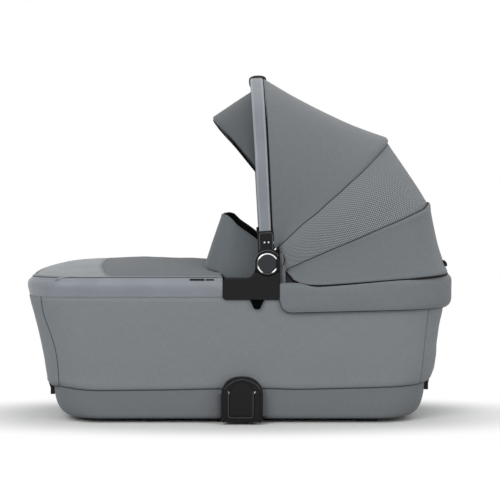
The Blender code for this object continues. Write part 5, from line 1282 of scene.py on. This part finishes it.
def make_bumper(finish):
    """The padded band over the rear rail, its front corners rounded off below."""
    start = BRACKET_BACK + GAP
    side_steps, end_steps, round_steps = 56, 16, 7

    def outer(draw_share, out=0.0):
        end, side = BUMPER_DRAW_END * draw_share - out, BUMPER_DRAW_SIDE * draw_share - out
        return u_path(start, BUMPER_HEAD - end, BUMPER_HALF_WIDTH - side, BUMPER_CORNER - side,
                      side_steps, end_steps)

    def plain(inset):
        return u_path(start, TUB_HEAD - inset, RIM_HALF_WIDTH - TUB_INSET - inset, RIM_CORNER - inset,
                      side_steps, end_steps)

    def low_at(x):
        lost = max(BUMPER_FRONT_ROUND - (x - start), 0.0)
        return bumper_low(x) + BUMPER_FRONT_ROUND - math.sqrt(BUMPER_FRONT_ROUND ** 2 - lost ** 2)

    def bumper_height(part, share, low, top):
        round_low = min(BUMPER_ROUND_LOW, (top - low) * BUMPER_ROUND_SHARE)
        if part == "low":
            return low + round_low * share
        if part == "top":
            return top - BUMPER_ROUND_TOP * share
        return between(low + round_low, top - BUMPER_ROUND_TOP, share)

    inner, ridge, deep = plain(-2 * GAP), plain(BUMPER_RIDGE_IN), plain(BUMPER_DEEP_IN)
    plan = outer(0.0)
    turns = [QUARTER * i / round_steps for i in range(round_steps + 1)]
    table = [(1 - math.sin(turn), 1 - math.cos(turn)) for turn in turns]
    levels = [(draw_share, "low", share) for draw_share, share in table]
    levels += [(0.0, "middle", share) for share in (0.2, 0.4, 0.6, 0.8)]
    levels += [(draw_share, "top", share) for draw_share, share in reversed(table)]
    lines = [[Vector((x, y, low_at(near) + BUMPER_LIP)) for (x, y), (near, side) in zip(inner, plan)]]
    for k, (draw_share, part, share) in enumerate(levels):
        full = math.sin(math.pi * k / (len(levels) - 1))
        row = []
        for (near, side), (x, y) in zip(plan, outer(draw_share, BUMPER_BULGE * full)):
            point = Vector((x, y, bumper_height(part, share, low_at(near), bumper_top(near))))
            out = Vector((x - BUMPER_MIDDLE_X, y, 0.0)).normalized()
            on_side = abs(y) > BUMPER_END_HALF_WIDTH
            ends = smooth_share((near - start) / BUMPER_END_FADE) if on_side else 1.0
            fold = Vector([place / size for place, size in zip(point, BUMPER_FOLD)])
            near_front = 1 - smooth_share((near - start) / BUMPER_FRONT_REACH)
            depth = BUMPER_FOLD_DEPTH + BUMPER_FRONT_FOLD_DEPTH * near_front
            soft = ripple(point, *BUMPER_RIPPLE) + noise.noise(fold) * depth
            row.append(point + out * soft * full * ends)
        lines.append(row)
    tops = [bumper_top(x) for x, y in plan]
    for path, drop in ((inner, BUMPER_LIP), (ridge, BUMPER_RIDGE_DROP), (deep, BUMPER_DEEP_DROP)):
        least = 0.0 if path is inner else RAIL_COVER
        lines.append([Vector((x, y, max(top - drop, least))) for (x, y), top in zip(path, tops)])
    for path, rise in ((deep, BUMPER_SKIRT_RISE), (inner, GAP)):
        lines.append([Vector((x, y, RIM_LOW + rise)) for x, y in path])
    band = swept_piece("bumper_band", [list(ring) for ring in zip(*lines)], finish["bumper"])
    attach(band, "rim", "rear_bumper")
    # A dark tube along the lower lip, a painted shadow of the gap over the tub.
    line = [Vector((x, y, low_at(near) + BUMPER_PIPING_RISE))
            for (x, y), (near, side) in zip(outer(BUMPER_PIPING_SHARE), plan)]
    attach(tube_along("bumper_painted_shadow_line", line, BUMPER_PIPING, finish["binding"]), "rim")


# Apron and wind flap

def apron_height(x, across_share):
    """Height of the apron's outer face, crowned across and falling at its foot."""
    rise = straight_value(APRON_RISE_SHARES, x)
    return APRON_EDGE + APRON_CROWN * rise * (1 - abs(across_share) ** APRON_CROWN_POWER)


def apron_half_width(x):
    lost = APRON_CORNER - max(min(x - APRON_FOOT, APRON_CORNER), 0.0)
    return APRON_HALF_WIDTH - APRON_CORNER + math.sqrt(APRON_CORNER ** 2 - lost ** 2)


def apron_point(x, across, lift=0.0):
    """A point on the apron's outer face, with its slow unevenness."""
    free = (1 - abs(across) ** 6) * limit((x - APRON_FOOT) / APRON_FREE)
    point = Vector((x, across * apron_half_width(x), apron_height(x, across)))
    soft = ripple(point, *APRON_RIPPLE) + ripple(point, *APRON_FINE_RIPPLE)
    return point + UP * (soft * free + lift)


def boundary_x(across_share):
    """Where the apron's smooth toe panel meets its mesh."""
    return curve_value(TOE_BACKS, abs(across_share))


def across_steps(columns):
    """Shares across the apron, closer together towards its sides."""
    return [math.sin(math.pi * (j / columns - 0.5)) for j in range(columns + 1)]


def make_apron(finish):
    def toe_x(share, across):
        eased = 1 - math.cos(QUARTER * share)
        return between(APRON_FOOT, boundary_x(across), between(share, eased, TOE_EASED_SHARE))

    def back_x(share, across):
        return between(boundary_x(across) + 2 * APRON_SEAM_HALF, APRON_BACK, share)

    panels = (("apron_toe", toe_x, 40, "apron", TOE_FLAT, TOE_CUT_SHARE),
              ("apron_mesh_panel", back_x, 34, "apron_mesh", MESH_FLAT, 1.0))
    for name, x_of, steps, look, flat, cut_share in panels:
        rows = [[apron_point(x_of(i / steps, across), across) for across in across_steps(72)]
                for i in range(steps + 1)]
        piece = face_out(grid_piece(name, rows, finish[look]), APRON_CENTRE)
        thicken(piece, APRON_FABRIC, finish["lining"])
        attach(piece, "rim", "apron" if name == "apron_toe" else None)
    seam = [apron_point(boundary_x(across) + APRON_SEAM_HALF, across, -SEAM_LIFT)
            for across in across_steps(64)]
    attach(tube_along("apron_seam", seam, APRON_SEAM, finish["apron"]), "rim")
    sewn = [apron_point(point.x - APRON_STITCH_SET, point.y / apron_half_width(point.x), SEAM_LIFT)
            for point in seam]
    attach(stitches("apron_stitches", sewn, finish["thread"]), "rim")
    make_apron_edge(finish)
    make_zip(finish)


def make_apron_edge(finish):
    """The apron's bound edge, and the groove and ridge set in from it round the toe."""
    path = u_path(APRON_BACK, APRON_FOOT, APRON_HALF_WIDTH, APRON_CORNER, 40, 24)
    edge = [Vector((x, y, APRON_EDGE - APRON_BINDING_DROP)) for x, y in path]
    attach(tube_along("apron_binding", edge, APRON_BINDING, finish["apron"]), "rim")
    sunk_steps = 30
    for name, (end, side, lift, radius, look) in TOE_EDGES.items():
        path = u_path(TOE_EDGE_BACK, APRON_FOOT + end, APRON_HALF_WIDTH - side, APRON_CORNER - end, 60, 40)
        line = []
        for i, (x, y) in enumerate(path):
            sunk = TOE_EDGE_SINK * (1 - smooth_share(min(i, len(path) - 1 - i) / sunk_steps))
            line.append(apron_point(x, y / apron_half_width(x), lift - sunk))
        attach(tube_along(name, line, radius, finish[look]), "rim")


def make_zip(finish):
    """A coil zip under the apron's edge, bare by the brackets where its sliders park."""
    path = u_path(ZIP_BACK, APRON_FOOT - ZIP_FOOT_OUT, APRON_HALF_WIDTH + ZIP_OUT, APRON_CORNER + ZIP_OUT,
                  60, 40)
    line = [Vector((x, y, RIM_TOP + ZIP_RISE)) for x, y in path]
    teeth = stitches("zip_teeth", line, finish["thread"], ZIP_PITCH, ZIP_TOOTH_SHARE, ZIP_TOOTH_RADIUS)
    attach(teeth, "rim")
    steps = 8
    for side, sign in SIDES.items():
        for name, (low, high, radius) in ZIP_BARE.items():
            place = Vector((0.0, sign * (APRON_HALF_WIDTH + ZIP_BARE_OUT), RIM_TOP - ZIP_BARE_DROP))
            line = [place + AHEAD * between(low, high, i / steps) for i in range(steps + 1)]
            bare = tube_along(f"zip_bare_{name}_{side}", line, radius, finish["lining"])
            attach(bare, "rim")


def flap_grid(inside, rows_count=20):
    """The collar's outer face, or its inner face set in by its padding."""
    path = u_path(FLAP_WING_END, -FLAP_FOOT, FLAP_HALF_WIDTH, FLAP_CORNER, 26, 26)
    edge_steps, least_up = 10, 0.02
    grid = []
    for i in range(rows_count + 1):
        up = i / rows_count
        row = []
        for k, (x, y) in enumerate(path):
            back = limit((x + FLAP_FOOT) / (FLAP_WING_END + FLAP_FOOT))
            across = max(abs(y) - FLAP_THICK, 0.0) / apron_half_width(min(x, APRON_BACK))
            past = limit((back - FLAP_WING_FROM_SHARE) / FLAP_WING_OVER_SHARE)
            low = between(apron_height(x, across) + FLAP_SEAT, FLAP_WING_LOW, past)
            top = straight_value(FLAP_TOPS, back)
            top += math.copysign(FLAP_SLANT, y) * smooth_share(back * 2.5)
            lean = FLAP_LEAN * up * (1 - back) + FLAP_REACH * up * smooth_share(back * 2 - 1)
            narrow = 1 - FLAP_TOP_INSET / FLAP_HALF_WIDTH * up
            point = Vector((x + lean, y * narrow, between(low, top, up)))
            ends = smooth_share(min(k, len(path) - 1 - k) / edge_steps)
            edge = math.sqrt(math.sin(math.pi * min(max(up, least_up), 1 - least_up))) * ends
            inward = Vector((FLAP_MIDDLE_X - x, -y, 0.0)).normalized()
            if inside:
                depth = FLAP_EDGE_THICK + FLAP_PAD_THICK * edge + FLAP_LINING_SKIN
            else:
                depth = FLAP_ROUND * (1 - edge) + ripple(point, *FLAP_RIPPLE) * edge + FLAP_SKIN
            row.append(point + inward * depth)
        grid.append(row)
    return grid


def border(grid):
    """The points round a grid's edge, in order."""
    sides = grid[0] + [row[-1] for row in grid[1:]]
    return sides + list(reversed(grid[-1][:-1])) + [row[0] for row in reversed(grid[1:-1])]


def make_flap(finish):
    """The padded wind flap: an outer cloth and a dark lining over a soft board."""
    outer, inner = flap_grid(False), flap_grid(True)
    shell = grid_piece("flap_pad", outer, finish["flap"])
    lining = grid_piece("flap_lining", inner, finish["lining"])
    edges = [border(outer), border(inner)]
    edges.insert(1, [a.lerp(b, 0.5) for a, b in zip(*edges)])
    join_pieces(shell, [lining, grid_piece("flap_edge", edges, finish["flap"], closed=True)])
    attach(shell, "wind_flap", "wind_flap")
    line = [a.lerp(b, FLAP_PIPING_SHARE) + UP * GAP for a, b in zip(outer[-1], inner[-1])]
    attach(tube_along("flap_piping", line, FLAP_PIPING, finish["flap"]), "wind_flap")


def join_pieces(target, others):
    """Joins pieces into one mesh and welds their shared edges."""
    mesh = bmesh.new()
    for piece in others:
        for finish in piece.data.materials:
            if finish.name not in target.data.materials.keys():
                target.data.materials.append(finish)
    names = [finish.name for finish in target.data.materials]
    for piece in [target] + others:
        kept = [names.index(finish.name) for finish in piece.data.materials]
        start = len(mesh.faces)
        mesh.from_mesh(piece.data)
        mesh.faces.ensure_lookup_table()
        for face in mesh.faces[start:]:
            face.material_index = kept[face.material_index]
    bmesh.ops.remove_doubles(mesh, verts=mesh.verts, dist=WELD)
    bmesh.ops.recalc_face_normals(mesh, faces=mesh.faces)
    mesh.to_mesh(target.data)
    mesh.free()
    target.data.shade_smooth()
    for piece in others:
        bpy.data.objects.remove(piece)


# Hood

def ruled_rows(start, end, steps, sag, towards, roll_start=0.0, roll_end=0.0):
    """Rows between two lines, drawn inwards between them and rolled in or out at the ends."""
    reach, roll_power = 0.10, 0.6
    rows = []
    for i in range(steps + 1):
        share = i / steps
        pull = 4 * share * (1 - share) * sag
        for roll, place in ((roll_start, share), (roll_end, 1 - share)):
            pull -= roll * math.sin(math.pi * min(place / reach, 1.0) ** roll_power)
        row = []
        for a, b in zip(start, end):
            point = a.lerp(b, share)
            inward = (towards - point).normalized()
            soft = ripple(point, *HOOD_RIPPLE) + ripple(point, *HOOD_FINE_RIPPLE)
            row.append(point + inward * (pull + soft * math.sin(math.pi * share)))
        rows.append(row)
    return rows


def turn_blend(piece, body_a, body_b, origin, angle_a, angle_b):
    """Weighs each vertex of a panel between two ribs by its angle about the hood's axis, then puts the
    vertices back as they were.
    """
    places = [vertex.co.copy() for vertex in piece.data.vertices]
    for vertex, place in zip(piece.data.vertices, places):
        angle = math.atan2(place.x - origin[0], place.z - origin[1])
        weight = limit((angle - angle_a) / (angle_b - angle_a))
        vertex.co = (0.5 - math.sin(math.asin(1 - 2 * weight) / 3), 0.0, 0.0)
    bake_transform(piece)
    for vertex, place in zip(piece.data.vertices, places):
        vertex.co = place
    piece.data.update()


def hem_line():
    """The hood's rear edge, over the bumper."""
    curve = arch_curve(HEM_HALF_WIDTH, HEM_HEAD - AXIS_X, HEM_LEG, HEM_POWER, HEM_START)
    line = []
    for y, r, ny, nr in curve:
        x = AXIS_X + r
        tuck_share = max(1 - (r - HEM_START) / HEM_TUCK_LENGTH, 0.0) ** 2
        z = bumper_top(x) + straight_value(HEM_RISES, x)
        line.append(Vector((x, y - math.copysign(HEM_TUCK * tuck_share, y), z)))
    return line


def mid_row(across_share, down_share):
    """A line of the cloth over the mid rib, from the front seam's place to the mesh's edge."""
    row = []
    for y, r, ny, nr in arch_curve(MID_HALF_WIDTH, MID_CROWN, MID_LEG, MID_POWER, MID_START):
        across = curve_value(MID_SHIFTS, r)
        crown = smooth_share((r - MID_LEG) / (MID_CROWN - MID_LEG))
        ahead = min(across - MID_HEM * crown, across - HOOD_SEAM, -HOOD_SEAM)
        down = MID_DROP * crown ** 2 * down_share
        row.append(in_plane(AXIS, MID_ANGLE, r - nr * down, between(ahead, across, across_share),
                            y - ny * down))
    return row


def mesh_back_line(curve):
    """The mesh's edge on the rear rib, tucked under the rear panel at its crown."""
    line = []
    for y, r, ny, nr in curve:
        tuck = MESH_TUCK * smooth_share((r - REAR_LEG) / (REAR_CROWN - REAR_LEG) * MESH_TUCK_SPEED)
        line.append(in_plane(REAR_ORIGIN, REAR_ANGLE, r - nr * tuck, curve_value(REAR_SHIFTS, r),
                             y - ny * tuck))
    return line


def make_hood(finish):
    lead = arch_curve(BOW_HALF_WIDTH + HOOD_FABRIC / 2, BOW_CROWN + HOOD_FABRIC, BOW_LEG, BOW_POWER,
                      SOCKET_WIDTH + GAP)
    rear = arch_curve(MID_HALF_WIDTH, REAR_CROWN, REAR_LEG, REAR_POWER, HUB)
    mid_rows = [mid_row(across_share, down_share) for across_share, down_share in MID_TURN_SHARES]
    over_rib, drop = mid_row(0.0, 0.0), mid_rows[-1]
    mesh_back, hem = mesh_back_line(rear), hem_line()
    rear_back = seam_line(REAR_ORIGIN, REAR_ANGLE, rear, REAR_SHIFTS, HOOD_SEAM)
    front_rows = ruled_rows(seam_line(AXIS, BOW_ANGLE, lead, HOOD_LEAD_SHIFTS), over_rib, 28, HOOD_SAG,
                            HOOD_MIDDLE)
    mesh_rows = ruled_rows(drop, mesh_back, 24, HOOD_MESH_SAG, HOOD_MIDDLE, MESH_ROLL)
    rear_rows = ruled_rows(rear_back, hem, 26, HOOD_REAR_SAG, HOOD_MIDDLE, REAR_ROLL, HEM_ROLL)
    panels = (
        ("hood_front", front_rows + mid_rows, "hood", "hood_fabric", ("hood_mid", "handle"),
         (MID_ANGLE, BOW_ANGLE)),
        ("hood_mesh", mesh_rows, "mesh", "mesh_fabric", ("hood_rear", "hood_mid"),
         (REAR_ANGLE, MID_ANGLE)),
        ("hood_rear", rear_rows, "hood", "hood_fabric", ("rim", "hood_rear"),
         (HEM_ANGLE, REAR_ANGLE)),
    )
    for name, rows, look, slot, bodies, angles in panels:
        panel = face_out(grid_piece(f"{name}_cloth", rows, finish[look]), HOOD_MIDDLE)
        thicken(panel, HOOD_SHOWN_FABRIC, finish["hood_inside"], even=False)
        turn_blend(panel, *bodies, AXIS, *angles)
        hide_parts(f"{name}_panel")
    # A dark cord under the hem, standing for its zip and painting the shadow gap between the hem and the
    # bumper.
    under = []
    for point in hem:
        inward = Vector((HEM_MIDDLE_X - point.x, -point.y, 0.0)).normalized()
        under.append(point + inward * ZIP_CORD_IN - UP * ZIP_CORD_DROP)
    trims = (
        ("hood_mid_seam", drop, "thread", "hood_mid"),
        ("hood_rear_seam", [a.lerp(b, 0.5) for a, b in zip(mesh_back, rear_back)], "thread", "hood_rear"),
        ("hood_hem_zip_painted_shadow", under, "lining", "rim"),
    )
    for name, line, look, body in trims:
        attach(tube_along(name, line, HOOD_CORDS[name], finish[look]), body)
    rings = bow_rings(bow_curve(LEAD_STRIP_START, 120), LEAD_STRIP, 0.0)
    attach(swept_piece("hood_lead_strip", rings, finish["lining"]), "handle")


def grid_rows(rows_count, columns, point_at):
    """Rows of points from a function of the shares up and across."""
    return [[point_at(i / rows_count, j / columns) for j in range(columns + 1)]
            for i in range(rows_count + 1)]


def make_tabs(finish):
    """The tie tab behind each hub, gathered in its middle with a dark line in the gather as painted shade,
    and the dark gusset behind it.
    """
    low = bumper_top(BRACKET_BACK) - TAB_LAP
    for side, sign in SIDES.items():

        def tab_point(up, across, sign=sign):
            waist = math.exp(-((up - 0.50) / 0.20) ** 2)
            wide = TAB_WIDTH * (1.0 + 0.22 * waist + 0.28 * (1 - up) ** 2)
            fold = math.sin(math.pi * across) ** 2
            crease = math.exp(-((across - 0.35 - 0.45 * waist) / 0.10) ** 2) * waist
            out = TAB_OUT + TAB_FOLD_DEPTH * fold - TAB_CREASE_DEPTH * crease
            return Vector((BRACKET_BACK + 2 * GAP + wide * across, sign * (MID_HALF_WIDTH + out),
                           between(low, TAB_TOP, up)))

        def gusset_point(up, across, sign=sign):
            x = BRACKET_BACK + TAB_WIDTH / 2 + GUSSET_LENGTH * across
            height = GUSSET_HEIGHT * (1 - across) ** 1.5 + GUSSET_LOW_HEIGHT
            return Vector((x, sign * (MID_HALF_WIDTH - GUSSET_IN), bumper_top(x) - GUSSET_LAP + height * up))

        tab = face_out(grid_piece(f"hood_tab_cloth_{side}", grid_rows(30, 10, tab_point), finish["hood"]),
                       TAB_CENTRE)
        thicken(tab, TAB_FABRIC)
        attach(tab, "rim", f"hood_tab_{side}")
        # A dark cord along the gather, painted shade in the crease.
        line = [Vector((x, sign * (MID_HALF_WIDTH + TAB_FOLD_OUT), z)) for x, z in TAB_FOLD]
        fold = tube_along(f"hood_tab_fold_painted_shade_{side}", line, TAB_FOLD_RADIUS, finish["lining"])
        attach(fold, "rim")
        gusset = grid_piece(f"hood_gusset_{side}", grid_rows(6, 12, gusset_point), finish["gusset"])
        thicken(face_out(gusset, TAB_CENTRE), GUSSET_FABRIC)
        attach(gusset, "rim")


def make_hood_tag(finish):
    """A small dark loop sewn low on each rear corner of the hood."""
    for side, sign in SIDES.items():

        def tag_point(up, across, sign=sign):
            x = TAG_X - TAG_LEAN * up + TAG_BOW * math.sin(math.pi * up)
            return Vector((x + TAG_LENGTH * across, sign * (TAG_Y + TAG_WIDTH * across),
                           TAG_LOW + TAG_HEIGHT * up))

        tag = grid_piece(f"hood_tag_{side}", grid_rows(6, 3, tag_point), finish["binding"])
        thicken(face_out(tag, TAG_CENTRE), TAG_FABRIC)
        attach(tag, "rim")


def make_visor(finish):
    """The visor's cloth, hemmed round its wire and bound along its edge."""
    origin, middle = (VISOR_X, VISOR_Z), Vector((VISOR_X, 0.0, VISOR_Z))
    height = math.hypot(VISOR_X - AXIS_X, VISOR_Z - AXIS_Z)
    out = VISOR_WIRE + VISOR_FABRIC + 4 * GAP
    start = VISOR_STUB + 4 * GAP
    steps = 2 * ARCH_STEPS
    edge = arch_curve(VISOR_HALF_WIDTH + out, VISOR_CROWN + out, 0.0, VISOR_POWER, start, steps)
    hem_rows = []
    for leg_aside, crown_out, crown_aside in VISOR_HEM:
        row = []
        for y, r, ny, nr in edge:
            up = smooth_share((r / VISOR_CROWN - 0.5) / 0.45)
            row.append(in_plane(origin, VISOR_ANGLE, r + nr * crown_out * up,
                                between(leg_aside, crown_aside, up), y + ny * crown_out * up))
        hem_rows.append(row)
    behind = arch_curve(VISOR_BOW_HALF_WIDTH, VISOR_BOW_CROWN, BOW_LEG, BOW_POWER, height + 2 * start, steps)
    back = arch_line(AXIS, BOW_ANGLE, behind, -BOW_WIDTH / 4)
    rows = hem_rows[:-1] + ruled_rows(hem_rows[-1], back, 20, -VISOR_BULGE, middle)
    cloth = face_out(grid_piece("visor_cloth", rows, finish["visor"]), middle)
    thicken(cloth, VISOR_FABRIC, finish["hood_inside"], even=False)
    turn_blend(cloth, "handle", "visor", origin, BOW_ANGLE, VISOR_ANGLE)
    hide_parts("visor_fabric")
    binding = tube_along("visor_binding", hem_rows[0], VISOR_BINDING, finish["binding"], sides=16)
    attach(binding, "visor")


# Handle

def bow_curve(start, steps):
    return arch_curve(BOW_HALF_WIDTH, BOW_CROWN - BOW_DIP, BOW_LEG, BOW_POWER, start, steps)


def bow_section():
    """The bow's outline as (outward, aside), its edges rounded in facets."""
    side = []
    for k in range(BOW_ROUND_STEPS + 1):
        angle = QUARTER * k / BOW_ROUND_STEPS
        side.append((BOW_THICK / 2 - BOW_ROUND * (1 - math.cos(angle)),
                     BOW_WIDTH / 2 - BOW_ROUND * (1 - math.sin(angle))))
    back = list(reversed(side))
    return (side + [(-out, aside) for out, aside in back] + [(-out, -aside) for out, aside in side]
            + [(out, -aside) for out, aside in back])


def bow_rings(curve, section, taper=1.0):
    """Rings of a section of (outward, aside) along the bow, which narrows to its feet."""
    rings = []
    for y, r, ny, nr in curve:
        up = limit((r - BOW_START) / (BOW_CROWN - BOW_START))
        narrow = 1 - (1 - between(BOW_FOOT_WIDTH, BOW_WIDTH, up) / BOW_WIDTH) * taper
        shift = between(BOW_FOOT_SET, BOW_SET, up) * taper
        rings.append([in_plane(AXIS, BOW_ANGLE, r + nr * outward, aside * narrow - shift, y + ny * outward)
                      for outward, aside in section])
    return rings


def make_bow(finish):
    section = bow_section()
    rings = bow_rings(bow_curve(BOW_START - BOW_SEATED, 160), section)
    bow = swept_piece("bow_bar", rings, finish["bow"])
    # The facets on the rounded edges get the lighter finish, a painted highlight.
    bow.data.materials.append(finish["bow_painted_highlight_edge"])
    for face in bow.data.polygons:
        corners = sorted({index % len(section) for index in face.vertices})
        if len(face.vertices) == 4 and corners in BOW_PAINTED_HIGHLIGHT_FACETS:
            face.material_index = 1
    attach(bow, "handle", "handle_bow")
    make_grip(finish)


def make_grip(finish):
    """A stitched sleeve on the bow's crown, thicker over it than under it."""
    rings = []
    for point in bow_curve(BOW_START - BOW_SEATED, 400):
        room = GRIP_HALF_LENGTH - abs(point[0])
        if room <= 0.0:
            continue
        share = math.sqrt(1 - (1 - min(room / GRIP_END_ROUND, 1.0)) ** 2)
        over, side, under = GRIP_WALL * share, GRIP_SIDE * share, GRIP_UNDER * share
        thick, wide = BOW_THICK / 2 + (over + under) / 2, BOW_WIDTH / 2 + side
        power = 2 / between(GRIP_END_POWER, GRIP_POWER, share)
        section = []
        for angle in circle_steps(36):
            parts = (math.cos(angle), math.sin(angle))
            out, aside = (math.copysign(abs(part) ** power, part) for part in parts)
            section.append((out * thick + (over - under) / 2, aside * wide + GRIP_SET * share))
        rings += bow_rings([point], section)
    grip = swept_piece("grip_sleeve", rings, finish["grip"])
    attach(grip, "handle", "handle_grip")


def make_hub_rings(finish):
    """A rounded bright ring round each push knob, over the flat ring of the solids; its brightness round the
    ring is painted reflection.
    """
    for side, sign in SIDES.items():
        rings = []
        for turn in circle_steps(96):
            ring = []
            for angle in circle_steps(12):
                r = RING_MIDDLE + RING_HALF * math.cos(angle)
                y = sign * (RING_FACE + RING_HALF * RING_FLAT_SHARE * math.sin(angle))
                ring.append(Vector((AXIS_X + r * math.cos(turn), y, AXIS_Z + r * math.sin(turn))))
            rings.append(ring)
        rings.append(rings[0])
        bead = swept_piece(f"hub_ring_bead_{side}", rings, finish["ring"], capped=False)
        attach(bead, "handle", f"hub_ring_{side}")


def make_hub_lines(finish):
    """Lighter lines along the edges of each hub's bezel and socket, a painted highlight, and a dark disc
    round its rivets, painted shade for their recess.
    """
    arc_steps = 40
    for side, sign in SIDES.items():
        face = sign * HUB_FACE
        arc = []
        for i in range(arc_steps + 1):
            angle = math.radians(BEZEL_FROM + BEZEL_SWEEP * i / arc_steps)
            arc.append(Vector((AXIS_X + BEZEL * math.cos(angle), face, AXIS_Z + BEZEL * math.sin(angle))))
        frame = [in_plane(AXIS, BOW_ANGLE, r, aside, face) for r, aside in SOCKET_FRAME]
        # The bezel and socket lines are lighter, a painted highlight.
        for name, line in (("bezel", arc), ("socket", frame)):
            edge = tube_along(f"hub_{name}_edge_{side}", line, HUB_LINE, finish["edge"])
            attach(edge, "handle")
        # A dark disc round the rivets, painted shade for their recess.
        outline = []
        for angle in circle_steps(24):
            spot = in_plane(AXIS, BOW_ANGLE, RIVET_AT + RIVET_SEAT * math.cos(angle),
                            RIVET_SEAT * math.sin(angle), 0.0)
            outline.append((spot.x, spot.z))
        depths = sorted((face, face - sign * RIVET_SEAT_DEPTH))
        seat = cutter(f"rivet_recess_painted_shade_{side}", outline, *depths, finish["lining"])
        attach(seat, "handle")


# Materials on the solids that stay

def dress_solids(frame, finish):
    looks = {"base_tray": "black", "foot_stay": "tube", "head_stay": "tube", "rim_tube": "tube",
             "rear_rail": "tube", "hood_mid_rib": "rib", "hood_rear_rib": "rib", "visor_wire": "rib"}
    # The bracket tongue's near-black finish is painted shade.
    paired = {"adaptor": "black", "adaptor_button": "black", "bracket": "black", "bracket_tongue": "tongue",
              "pivot_pin": "steel", "hood_hub": "black", "hub_knob": "knob", "rivet_front": "steel",
              "rivet_back": "steel", "zip_puller": "dull_steel"}
    at_corners = {"foot_pad": "rubber", "stay_hinge": "black", "end_loop": "webbing_solid"}
    for side in SIDES:
        looks.update({f"{name}_{side}": look for name, look in paired.items()})
        for end in ENDS:
            looks.update({f"{name}_{end}_{side}": look for name, look in at_corners.items()})
    for name, look in looks.items():
        node = frame["nodes"][name]
        if not node.data.materials:
            node.data.materials.append(finish[look])
        for slot in node.material_slots:
            slot.material = finish[look]


# Studio

def make_studio():
    scene = bpy.context.scene
    eye = bpy.data.cameras.new("camera")
    eye.lens = CAMERA_LENS
    eye.sensor_width = CAMERA_SENSOR
    eye.clip_end = CAMERA_REACH
    camera = new_piece("camera", eye)
    camera.location = CAMERA_PLACE
    camera.rotation_euler = (QUARTER - CAMERA_DIP, 0.0, 0.0)
    scene.camera = camera
    make_floor()
    make_world()
    for name, (place, target, size, power) in LAMPS.items():
        light = bpy.data.lights.new(name, "AREA")
        light.size = size
        light.energy = power
        lamp = new_piece(name, light)
        lamp.location = place
        lamp.rotation_euler = (Vector(target) - Vector(place)).to_track_quat("-Z", "Y").to_euler()
    scene.view_settings.view_transform = "Standard"


def seen_factor(tree):
    """One where the camera, a mirror or glass looks, and nothing for other light."""
    path = add_node(tree, "LightPath", {}).outputs
    total = math_node(tree, "ADD", path["Is Camera Ray"], path["Is Glossy Ray"])
    total = math_node(tree, "ADD", total, path["Is Transmission Ray"])
    return math_node(tree, "MINIMUM", total, 1.0)


def make_world():
    world = bpy.data.worlds.new("studio")
    world.use_nodes = True
    bpy.context.scene.world = world
    tree = world.node_tree
    back = tree.nodes["Background"]
    back.inputs["Color"].default_value = srgb(*WHITE)
    tree.links.new(map_range(tree, seen_factor(tree), start=WORLD_LIGHT), back.inputs["Strength"])


def make_floor():
    """A white floor whose shadow stays near the cot, and that fades to plain white further out."""
    mesh = bpy.data.meshes.new("floor")
    ways = ((-1, -1), (1, -1), (1, 1), (-1, 1))
    mesh.from_pydata([(x * FLOOR_SIZE, y * FLOOR_SIZE, 0.0) for x, y in ways], [], [(0, 1, 2, 3)])
    made = bpy.data.materials.new("floor")
    made.use_nodes = True
    tree = made.node_tree
    tree.nodes.remove(tree.nodes["Principled BSDF"])
    seen = seen_factor(tree)
    hidden, shown = (add_node(tree, "BsdfDiffuse", {"Color": (level, level, level, 1.0)}).outputs["BSDF"]
                     for level in FLOOR_LEVELS)
    near = add_node(tree, "MixShader", {"Fac": seen, 1: hidden, 2: shown}).outputs["Shader"]
    stretch = {"Scale": FLOOR_STRETCH, "Location": FLOOR_SHIFT, "Vector": object_place(tree)}
    place = add_node(tree, "Mapping", stretch).outputs["Vector"]
    reach = add_node(tree, "VectorMath", {0: place}, operation="LENGTH").outputs["Value"]
    away = map_range(tree, reach, *FLOOR_FADE, interpolation_type="SMOOTHSTEP")
    plain = add_node(tree, "Emission", {"Color": srgb(*WHITE)}).outputs["Emission"]
    far_share = math_node(tree, "MULTIPLY", seen, away)
    far = add_node(tree, "MixShader", {"Fac": far_share, 1: near, 2: plain}).outputs["Shader"]
    tree.links.new(far, tree.nodes["Material Output"].inputs["Surface"])
    new_piece("floor", mesh, made)


def main():
    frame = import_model()
    finish = make_materials()
    make_studio()
    dress_solids(frame, finish)
    make_tub(finish)
    make_skirt(finish)
    make_liner(finish)
    make_mattress(finish)
    make_rim(finish)
    make_bumper(finish)
    make_apron(finish)
    make_flap(finish)
    make_hood(finish)
    make_tabs(finish)
    make_visor(finish)
    make_bow(finish)
    make_hub_rings(finish)
    make_hub_lines(finish)
    make_marks(finish)
    make_hood_tag(finish)


main()
